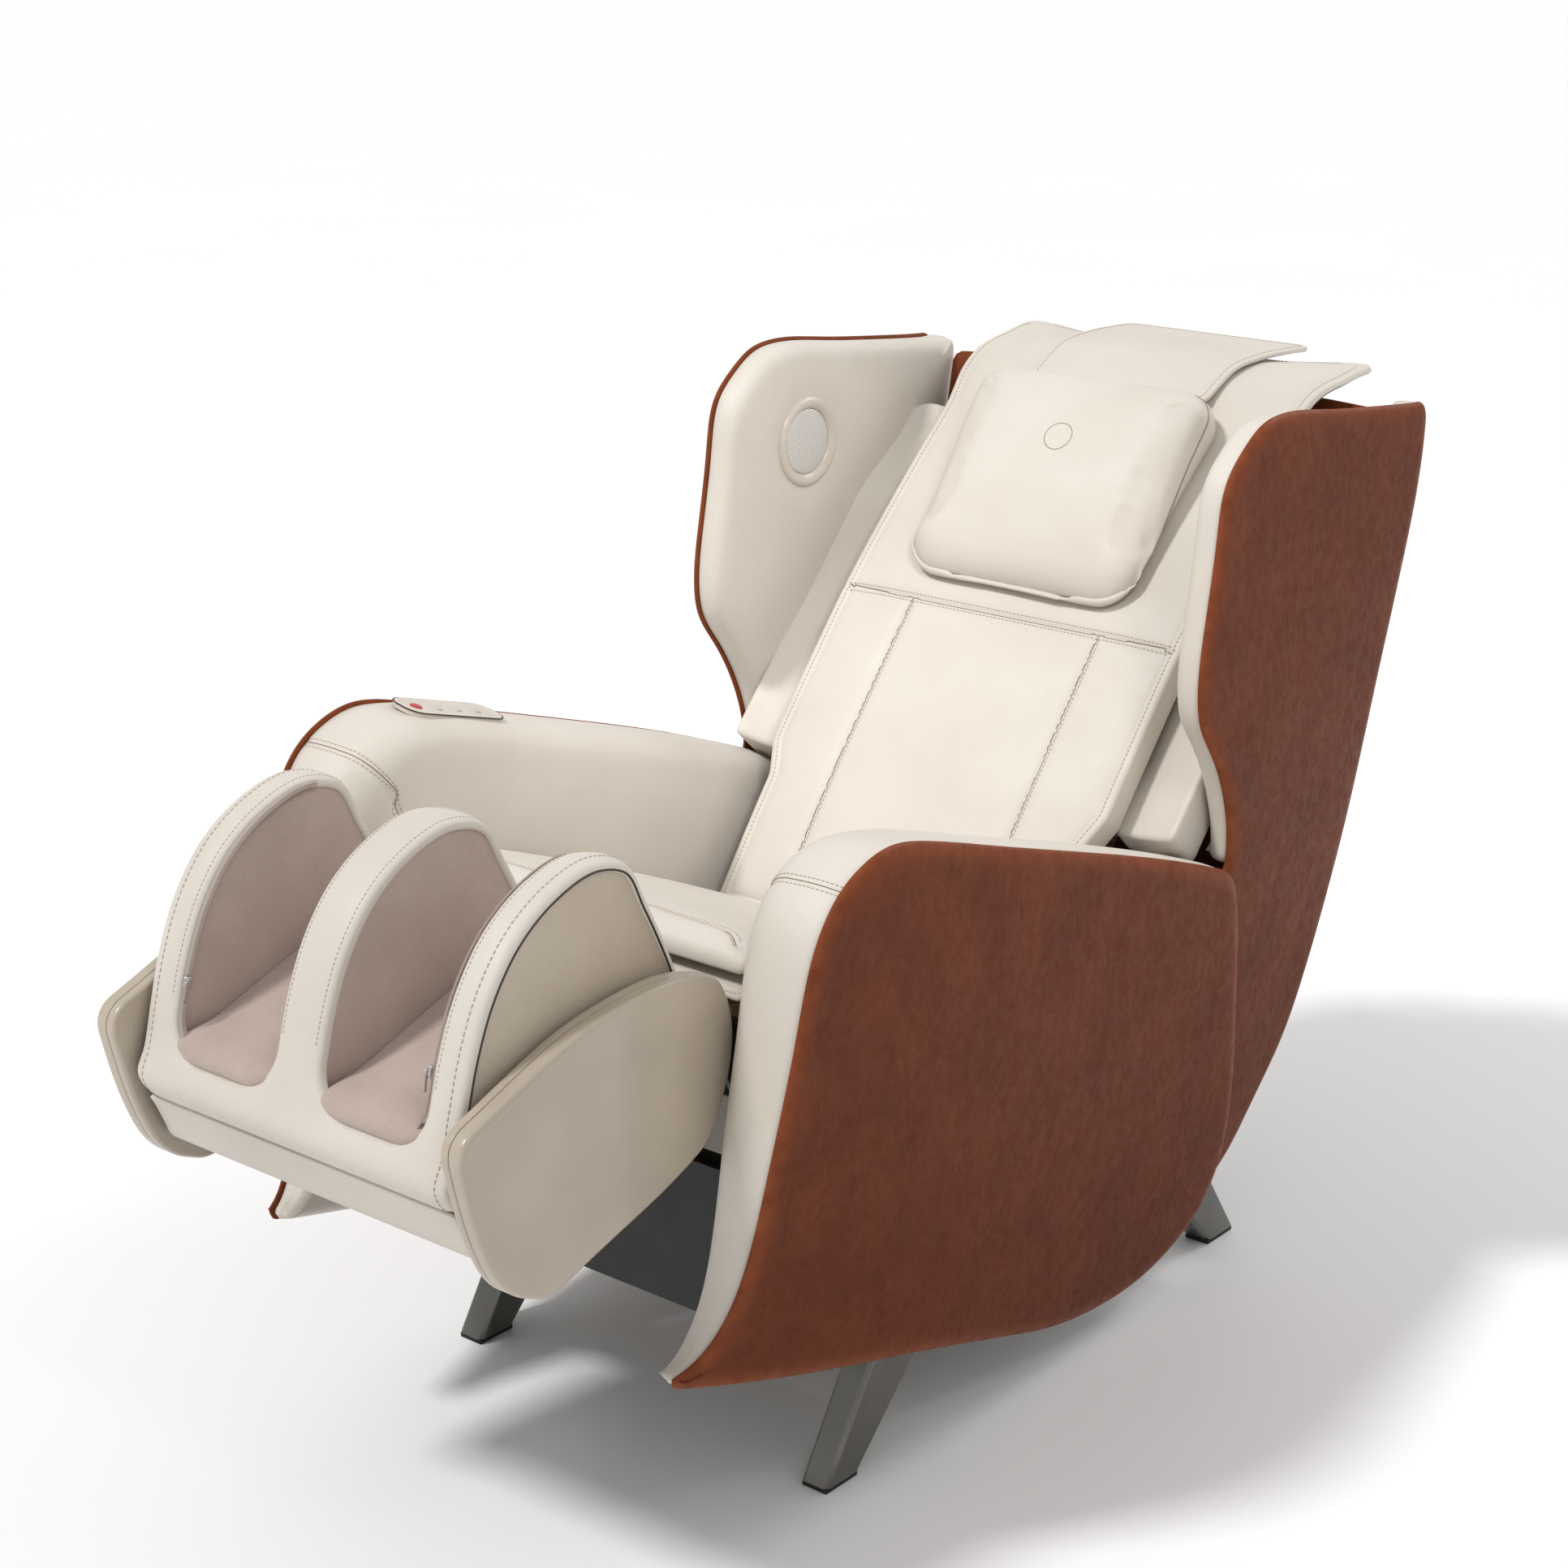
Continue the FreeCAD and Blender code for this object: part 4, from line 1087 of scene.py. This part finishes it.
def make_bolsters():
    """Padding between the wings and the back pad, fading away towards its upper end."""
    outline = Outline(rounded([(226, 206, 8), (314, 206, 8), (314, 712, 30), (226, 712, 20)]), 7.0)

    def face(q, depth):
        fade = 26.0 * ease(q[:, 1] - 540.0, 150.0)
        return np.interp(q[:, 0], [240, 262, 290, 312], [-27, -23, -15, -6]) - fade

    for name, side in SIDES:
        def place(u, v, h, side=side):
            return on_back(side * u, v, h)

        shape = padded_skin(outline, place, level(-68.0), face, (5.0, 3.0), (8.0, 6.0), 0.0, 12.0)
        inflate(shape, (shape.part != Skin.FACE) | (shape.depth < 12), 3.0, 3.0)
        skin_piece("back_bolster_" + name, shape, "backrest", "cream_leather", ["back_bolsters"])


COVER_LINE = [(1010, 985), (992, 900), (958, 790), (926, 680), (895, 560), (870, 450), (850, 385),
              (824, 350), (790, 334)]
COVER_HALF, COVER_BOW, COVER_SETBACK = 313.0, 42.0, 30.0


def make_rear_cover():
    rail = Rail(COVER_LINE)

    def place(u, v, h):
        bow = COVER_BOW * np.clip(1 - (u / 315.0) ** 2, 0.0, 1.0) ** 0.8
        fade = np.interp(v / rail.length, [0.0, 0.72, 1.0], [1.0, 1.0, 0.25])
        points = rail(u, v, h)
        points[:, 1] += bow * fade - COVER_SETBACK
        return points

    end = rail.length - 2
    outline = Outline(rounded([(-COVER_HALF, 2, 12), (COVER_HALF, 2, 12), (COVER_HALF, end, 12),
                               (-COVER_HALF, end, 12)]), 8.0)
    seams = [np.array([(x, 10.0), (x, end - 10.0)]) for x in (-120.0, 120.0)]

    def face(q, depth):
        return 1.5 * ease(depth - 8, 60) - 2.0 * np.minimum(sum(groove(q, s) for s in seams), 1.0)

    shape = padded_skin(outline, place, level(-4.5), face, (1.5, 1.5), (5.0, 3.0), 0.0, 14.0, seams, walls=1)
    # Nearness to the edge, which the tan paint lightens partly as wear and partly as a painted highlight.
    edge = np.exp(-((shape.depth / 9.0) ** 2))
    obj = skin_piece("rear_cover_skin", shape, "backrest", "tan_leather", ["rear_cover"],
                     values={"edge": edge})
    surface = Surface(obj)
    for k, x in enumerate((-125.0, -115.0, 115.0, 125.0)):
        sew(f"rear_cover_stitches_{k}", surface, place, resample([(x, 12.0), (x, end - 12.0)], 3.0), 2.0,
            "backrest", paint="tan_thread", slot="tan_leather")


# ================= seat =================
def make_seat():
    rail = Rail([(-99, 597), (-105, 604), (-105, 612), (-97, 621), (-78, 624), (-50, 616), (20, 591),
                 (108, 557), (250, 496), (384, 438)])
    end = rail.length
    outline = Outline(rounded([(-249, 3, 12), (249, 3, 12), (249, end - 2, 20), (-249, end - 2, 20)]), 6.0)
    seam = curve([(-226, 40), (-205, 56), (-150, 66), (0, 70), (150, 66), (205, 56), (226, 40)])

    def face(q, depth):
        return 4.5 * ease(depth - 6.0, 60.0) - 2.2 * groove(q, seam, 2.4)

    def back(q, depth):
        return -12.0 - 27.0 * ease(q[:, 1] - 50.0, 120.0)

    shape = padded_skin(outline, rail, back, face, (4.0, 4.0), (9.0, 6.0), 1.0, 10.0, [seam], walls=2)
    free = (shape.part == Skin.FACE) & (shape.depth > 10) & (distance(shape.flat, seam) > 5)
    free &= shape.flat[:, 1] > 60
    inflate(shape, ~free, 8.0, 4.0)
    obj = skin_piece("seat_cushion_cover", shape, "seat_body", "cream_leather", ["seat_cushion"])
    surface = Surface(obj)
    sew("seat_seam", surface, rail, seam, 3.0, "seat_body", None, "seam_soft")
    for name, shift in (("a", 5.0), ("b", -5.0)):
        sew("seat_seam_stitches_" + name, surface, rail, seam + (0.0, shift), 3.0, "seat_body")


def make_valance():
    """Short leather flap that hangs forward from under the seat's front edge."""
    rail = Rail([(-139, 572), (-128, 580), (-110, 586), (-80, 590), (-50, 588)])
    reach = rail.along(-115, 585)
    end = rail.length - 2
    outline = Outline(rounded([(-213, 1, 5), (213, 1, 5), (213, reach, 3), (250, reach, 5), (250, end, 4),
                               (-250, end, 4), (-250, reach, 5), (-213, reach, 3)]), 5.0)
    hemmed_sheet("seat_valance", rail, outline, 6.0, "seat_body", (), 8.0)


# ================= leg rest =================
CALF_RAIL = Rail([(-436, 468), (-458, 480), (-468, 500), (-458, 524), (-447, 565), (-432, 616), (-408, 668),
                  (-374, 710), (-325, 741), (-262, 754), (-222, 740), (-196, 696), (-167, 639), (-152, 604)])
CALF_HALF, RIDGE_INNER, MIDDLE_HALF = 212.0, 170.0, 30.0
APRON = 74.0                      # height of the band below the troughs, along the curve
SHIELD_X = 249.5                  # outer face of a side shield


def make_calf_band():
    """The cream leather that runs over the three ridges and across below the troughs."""
    end = CALF_RAIL.length - 1.0
    half = [(CALF_HALF, 2, 12), (CALF_HALF, end, 4), (RIDGE_INNER, end, 4), (RIDGE_INNER, APRON, 42),
            (MIDDLE_HALF, APRON, 46), (MIDDLE_HALF, end, 4)]
    outline = Outline(even(half), 5.0)

    def face(q, depth):
        return 2.5 * ease(depth - 3.0, 18.0)

    shape = padded_skin(outline, CALF_RAIL, level(-11.0), face, (2.0, 2.0), (7.0, 7.0), 0.4, 8.0, steps=6,
                        walls=1)
    surface = Surface(skin_piece("calf_band", shape, "leg_rest", "cream_leather", ()))

    def sew_band(name, x, low, stitch):
        sew(name, surface, CALF_RAIL, resample([(x, low), (x, end - 6)], 3.0), 3.0, "leg_rest", stitch)

    for k, sign in enumerate((-1.0, 1.0)):
        sew_band(f"calf_band_stitches_{k}", sign * (CALF_HALF - 13.0), 16.0, (6.4, 4.4, 0.7))
        x = sign * (CALF_HALF + 0.4)
        line = lay(CALF_RAIL, resample([(x, 8.0), (x, end - 4)], 4.0), -8.6)
        piece(f"calf_piping_{k}", *tube(line, 1.1), "leg_rest", PAINT["seam"], "cream_leather")
    for k, x in enumerate((-RIDGE_INNER - 7, -MIDDLE_HALF + 7, MIDDLE_HALF - 7, RIDGE_INNER + 7)):
        sew_band(f"calf_rim_stitches_{k}", x, APRON + 60, (5.0, 3.2, 0.45))


def make_calf_under():
    """Leather drawn down over the front of the tray, with a folded cord along its top."""
    rail = Rail([(-405, 421), (-428, 421), (-438, 440), (-448, 462), (-455, 474)])
    end = rail.length - 1
    outline = Outline(rounded([(-209, 1, 6), (209, 1, 6), (209, end, 3), (-209, end, 3)]), 6.0)
    shape = padded_skin(outline, rail, level(-2.0), level(2.0), (0.5, 0.5), (1.5, 1.5), 0.0, 10.0, steps=3,
                        walls=1)
    skin_piece("calf_under_cover", shape, "leg_rest", "cream_leather", ())
    flat = resample([(-205.0, 3.0), (205.0, 3.0)], 5.0)
    for name, lift, radius, paint in (("cord", -4.0, 2.6, "zip_tape"), ("seam", -8.5, 1.2, "seam")):
        piece("calf_fold_" + name, *tube(lay(CALF_RAIL, flat, lift), radius), "leg_rest", PAINT[paint],
              "cream_leather")


def make_ridges():
    """The side walls of the three ridges: taupe knit in the troughs, grained leather outside."""
    whole = Outline(cad_outline("calf_middle_ridge"), 6.0, 8)
    outline = Outline(whole.inset(5.0), 6.0, 2)

    def ridge(name, low, high, swell_low, swell_high, paints, parts, replaces, side=1.0):
        def face(q, depth):
            return high - 2.0 + swell_high * ease(depth, 70.0)

        def back(q, depth):
            return low + 2.0 - swell_low * ease(depth, 70.0)

        shape = padded_skin(outline, on_side(side), back, face, (7.0, 3.5), (7.0, 3.5), 0.0, 10.0, walls=1)
        skin_piece(name, shape, "leg_rest", "taupe_knit", replaces, paints, parts)

    knit_paint, leather_paint = PAINT["taupe_knit"], PAINT["grained_leather"]
    ridge("calf_middle_walls", -MIDDLE_HALF, MIDDLE_HALF, 4.5, 4.5, [knit_paint], [0, 0, 0],
          ["calf_middle_ridge"])
    for name, side in SIDES:
        ridge("calf_outer_walls_" + name, RIDGE_INNER, CALF_HALF, 5.0, 4.0, [knit_paint, leather_paint],
              [1, 0, 1], ["calf_outer_ridges"], side)


def make_troughs():
    rail = Rail([(-463, 520), (-460, 536), (-400, 555), (-290, 593), (-170, 628)])
    end = rail.length
    outline = Outline(rounded([(31, 2, 30), (169, 2, 30), (169, end - 1, 6), (31, end - 1, 6)]), 6.0)

    def face(q, depth):
        return -4.0 + 5.0 * ease(depth, 30.0)

    for name, side in SIDES:
        def place(u, v, h, side=side):
            return rail(side * u, v, h)

        shape = padded_skin(outline, place, level(-22.0), face, (4.0, 4.0), (10.0, 6.0), 0.5, 10.0)
        inflate(shape, (shape.part != Skin.FACE) | (shape.depth < 12), 5.0, 4.0)
        skin_piece("calf_trough_" + name, shape, "leg_rest", "taupe_knit", ["calf_trough_pads"])


def make_zips():
    """A zip along the outer rim of each trough, with its slider and pull."""
    inset, turn_radius = 3.5, 42.0
    low = APRON + 4.0
    for name, side in SIDES:
        x = side * (RIDGE_INNER - inset)
        upright = [(x, v) for v in np.arange(APRON + 50, CALF_RAIL.length - 190, 4.0)]
        turn = [(side * (RIDGE_INNER - inset - turn_radius * (1 - math.cos(a))),
                 low + turn_radius - turn_radius * math.sin(a)) for a in np.linspace(math.pi / 2, 0.0, 10)]
        flat = curve([(side * (MIDDLE_HALF + 50), low), (side * 90, low)] + turn + upright, 3.0)
        line = lay(CALF_RAIL, flat, -5.0)
        normals = np.tile((-side * 0.75, -0.5, 0.42), (len(line), 1))
        piece("calf_zip_tape_" + name, *tube(line, 3.4, normals, 0.25), "leg_rest", PAINT["zip_tape"],
              "taupe_knit")
        over = line + unit(normals) * 1.1
        piece("calf_zip_teeth_" + name, *stitch_row(over, normals, 2.4, 1.4, 0.7), "leg_rest",
              PAINT["zip_tape"], "bright_steel")
        at = int(np.argmin(np.abs(flat[:, 1] - (APRON + 74)) + 0.5 * np.abs(flat[:, 0] - x)))
        place, out = over[at], unit(normals[at])
        along = unit(line[at + 2] - line[at - 2])
        slider = [place - along * 5 + out * 1.2, place + out * 2.0, place + along * 5 + out * 1.2]
        slider = resample(slider, 2.0)
        loop = [place + out * 3.4 - along * 4, place + out * 5.2, place + out * 3.4 + along * 4]
        pull = [place + out * 4.6, place + out * 4.8 - along * 8, place + out * 3.6 - along * 20]
        parts = [tube(slider, 4.2, np.tile(out, (len(slider), 1)), 0.5), tube(resample(loop, 1.5), 0.8),
                 tube(resample(pull, 3.0), 2.6, None, 0.35)]
        piece("calf_zip_slider_" + name, *gather(parts), "leg_rest", PAINT["zip_metal"], "bright_steel")


def make_shields():
    outline = Outline(cad_outline("shield_outer_shells"), 6.0, 6)

    def outer_face(q, depth):
        return SHIELD_X - (1.2 - 1.2 * ease(depth - 10, 60))

    halves = (("inner", level(220.5), level(231.4), (4.0, 4.0), (0.9, 0.9)),
              ("outer", level(232.2), outer_face, (0.9, 0.9), (6.0, 5.0)))
    for name, side in SIDES:
        for half, back, face, back_round, face_round in halves:
            shape = padded_skin(outline, on_side(side), back, face, back_round, face_round, 0.0, 14.0,
                                steps=7, walls=1)
            # The shields take the darker cream_plastic, whose colour holds painted shade.
            skin_piece(f"shield_{half}_{name}", shape, "leg_rest", "cream_plastic",
                       [f"shield_{half}_shells"])


# ================= controls =================
PANEL_CENTRE = np.array([-311.0, 62.0, 721.0])
PANEL_TILT, PANEL_ROLL = math.radians(-16.2), math.radians(11.0)
KEYS = (("power_key", -50.0, 7.0, "red_key"), ("key_recline", -18.0, 6.0, "grey_key"),
        ("key_massage", 12.0, 6.0, "grey_key"), ("key_air", 42.0, 6.0, "grey_key"))


def on_panel(u, v, h):
    c, s = math.cos(PANEL_ROLL), math.sin(PANEL_ROLL)
    u, h = c * u + s * h + 0 * v, c * h - s * u + 0 * v
    c, s = math.cos(PANEL_TILT), math.sin(PANEL_TILT)
    return PANEL_CENTRE + np.stack([u, c * v - s * h, s * v + c * h], axis=1)


def make_controls():
    x, y, radius = 22.6, 73.6, 18.0
    outline = Outline(rounded([(-x, -y, radius), (x, -y, radius), (x, y, radius), (-x, y, radius)]), 4.0)

    def face(q, depth):
        wells = sum(ease(9.6 - np.hypot(q[:, 0], q[:, 1] - y), 3.0) for _, y, _, _ in KEYS)
        return 1.6 - 1.2 * ease(depth - 5.0, 3.0) - 1.0 * np.minimum(wells, 1.0)

    shape = padded_skin(outline, on_panel, level(-5.5), face, (1.0, 1.0), (2.0, 2.0), 0.0, 2.5, walls=1)
    skin_piece("control_panel_face", shape, "seat_body", "cream_plastic", ["control_panel"],
               paints=PAINT["pale_plastic"])
    edge = Outline(outline.points, 3.0).inset(-0.6)
    piece("control_panel_gap", *tube(lay(on_panel, edge, 0.3), 0.8, closed=True), "seat_body", PAINT["seam"],
          "cream_plastic")
    up = lay(on_panel, [(0.0, 0.0)], 1.0)[0] - PANEL_CENTRE
    for node, y, radius, slot in KEYS:
        profile = [(radius * 0.97, -2.4), (radius, 0.2), (radius - 0.3, 1.0), (radius - 1.1, 1.5),
                   (radius * 0.5, 1.25), (0.0, 1.15)]
        base = lay(on_panel, [(0.0, y)], 0.0)[0]
        piece(node + "_cap", *lathe(profile, base, up, 40), node, PAINT[slot], slot, [node])
    dot = [(1.7, -0.2), (1.6, 0.45), (0.9, 0.7), (0.0, 0.75)]
    marks = [lathe(dot, lay(on_panel, [(x, y)], 0.3)[0], up, 16)
             for y in (-66.0, -34.0, -26.0, -3.0, 27.0, 57.0, 64.0) for x in (-11.0, 11.0)]
    piece("control_panel_dots", *gather(marks), "seat_body", PAINT["grey_key"], "grey_key")


# ================= base =================
def bevelled(node, body, width, slot):
    """A CAD node's shape with its edges broken, standing for the node."""
    mesh = frame["nodes"][node].data.copy()
    work = bmesh.new()
    work.from_mesh(mesh)
    bmesh.ops.remove_doubles(work, verts=work.verts, dist=1e-6)
    bmesh.ops.dissolve_limit(work, angle_limit=0.02, verts=work.verts, edges=work.edges)
    sharp = [e for e in work.edges if len(e.link_faces) == 2 and e.calc_face_angle() > 0.5]
    bmesh.ops.bevel(work, geom=sharp, offset=width * MM, segments=2, profile=0.5, affect="EDGES",
                    clamp_overlap=True)
    bmesh.ops.triangulate(work, faces=work.faces)
    bmesh.ops.recalc_face_normals(work, faces=work.faces)
    work.to_mesh(mesh)
    work.free()
    mesh.materials.clear()
    mesh.materials.append(PAINT[slot])
    mesh.shade_smooth()
    mesh.set_sharp_from_angle(angle=math.radians(35))
    obj = link(bpy.data.objects.new(node + "_shape", mesh))
    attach(obj, body)
    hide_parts(node)


def make_base():
    for node, width in (("front_legs", 0.9), ("rear_legs", 0.9), ("foot_pads", 1.0),
                        ("base_side_frames", 1.2), ("base_cross_tubes", 0.6)):
        slot = next(p["material_slot"] for p in frame["record"]["subparts"] if p["node"] == node)
        bevelled(node, "base", width, slot)


# ================= studio =================
CAMERA_AZIMUTH, CAMERA_ELEVATION = math.radians(39.5), math.radians(18.3)
CAMERA_PLACE = (2.0049, -2.4884, 1.6934)
CAMERA_LENS = 70.81
FLOOR_REACH = 40.0                # metres from the chair to the floor's edges


def add_light(name, kind, power, aim, place=(0.0, 0.0, 0.0), **settings):
    """A light at a place in metres, looking along aim."""
    light = bpy.data.lights.new(name, kind)
    light.energy = power
    for key, value in settings.items():
        setattr(light, key, value)
    obj = link(bpy.data.objects.new(name, light))
    obj.location = place
    obj.rotation_mode = "QUATERNION"
    obj.rotation_quaternion = Vector(aim).to_track_quat("-Z", "Y")


def floor_paint():
    p = Paint("floor", Roughness=0.6, Specular_IOR_Level=0.3)
    return p.done(p.mix(p.noise(900, 2.0), linear(249, 249, 249), linear(252, 252, 252)))


def make_studio():
    scene = bpy.context.scene
    scene.view_settings.view_transform = "Standard"
    data = bpy.data.cameras.new("camera")
    data.lens = CAMERA_LENS
    data.sensor_width = 36.0
    camera = link(bpy.data.objects.new("camera", data))
    camera.location = CAMERA_PLACE
    ahead = Vector((-math.sin(CAMERA_AZIMUTH) * math.cos(CAMERA_ELEVATION),
                    math.cos(CAMERA_AZIMUTH) * math.cos(CAMERA_ELEVATION), -math.sin(CAMERA_ELEVATION)))
    camera.rotation_mode = "QUATERNION"
    camera.rotation_quaternion = ahead.to_track_quat("-Z", "Y")
    scene.camera = camera
    mesh = bpy.data.meshes.new("floor")
    corners = ((-FLOOR_REACH, -FLOOR_REACH), (FLOOR_REACH, -FLOOR_REACH), (FLOOR_REACH, FLOOR_REACH),
               (-FLOOR_REACH, FLOOR_REACH))
    mesh.from_pydata([(x, y, 0.0) for x, y in corners], [], [[0, 1, 2, 3]])
    mesh.materials.append(floor_paint())
    floor = link(bpy.data.objects.new("floor", mesh))
    world = bpy.data.worlds.new("studio")
    world.use_nodes = True
    sky = world.node_tree.nodes["Background"].inputs
    sky["Color"].default_value = (1.0, 1.0, 1.0, 1.0)
    sky["Strength"].default_value = 0.6
    scene.world = world
    add_light("key", "SUN", 1.9, (0.30, 0.50, -0.81), angle=math.radians(9.0))
    place = Vector((1.5, -0.9, 2.5))
    add_light("inside", "SPOT", 180.0, Vector((-0.33, 0.1, 0.75)) - place, place,
              spot_size=math.radians(34.0), spot_blend=1.0, shadow_soft_size=0.5)
    place = Vector((1.2, 3.0, 2.8))
    add_light("rim", "AREA", 30.0, Vector((0.0, 0.3, 0.6)) - place, place, shape="DISK", size=1.6)


make_studio()
paint_cad()
make_arms()
make_wings()
make_back_pad()
make_pillow()
make_flap()
make_bolsters()
make_rear_cover()
make_seat()
make_valance()
make_calf_band()
make_calf_under()
make_ridges()
make_troughs()
make_zips()
make_shields()
make_controls()
make_base()
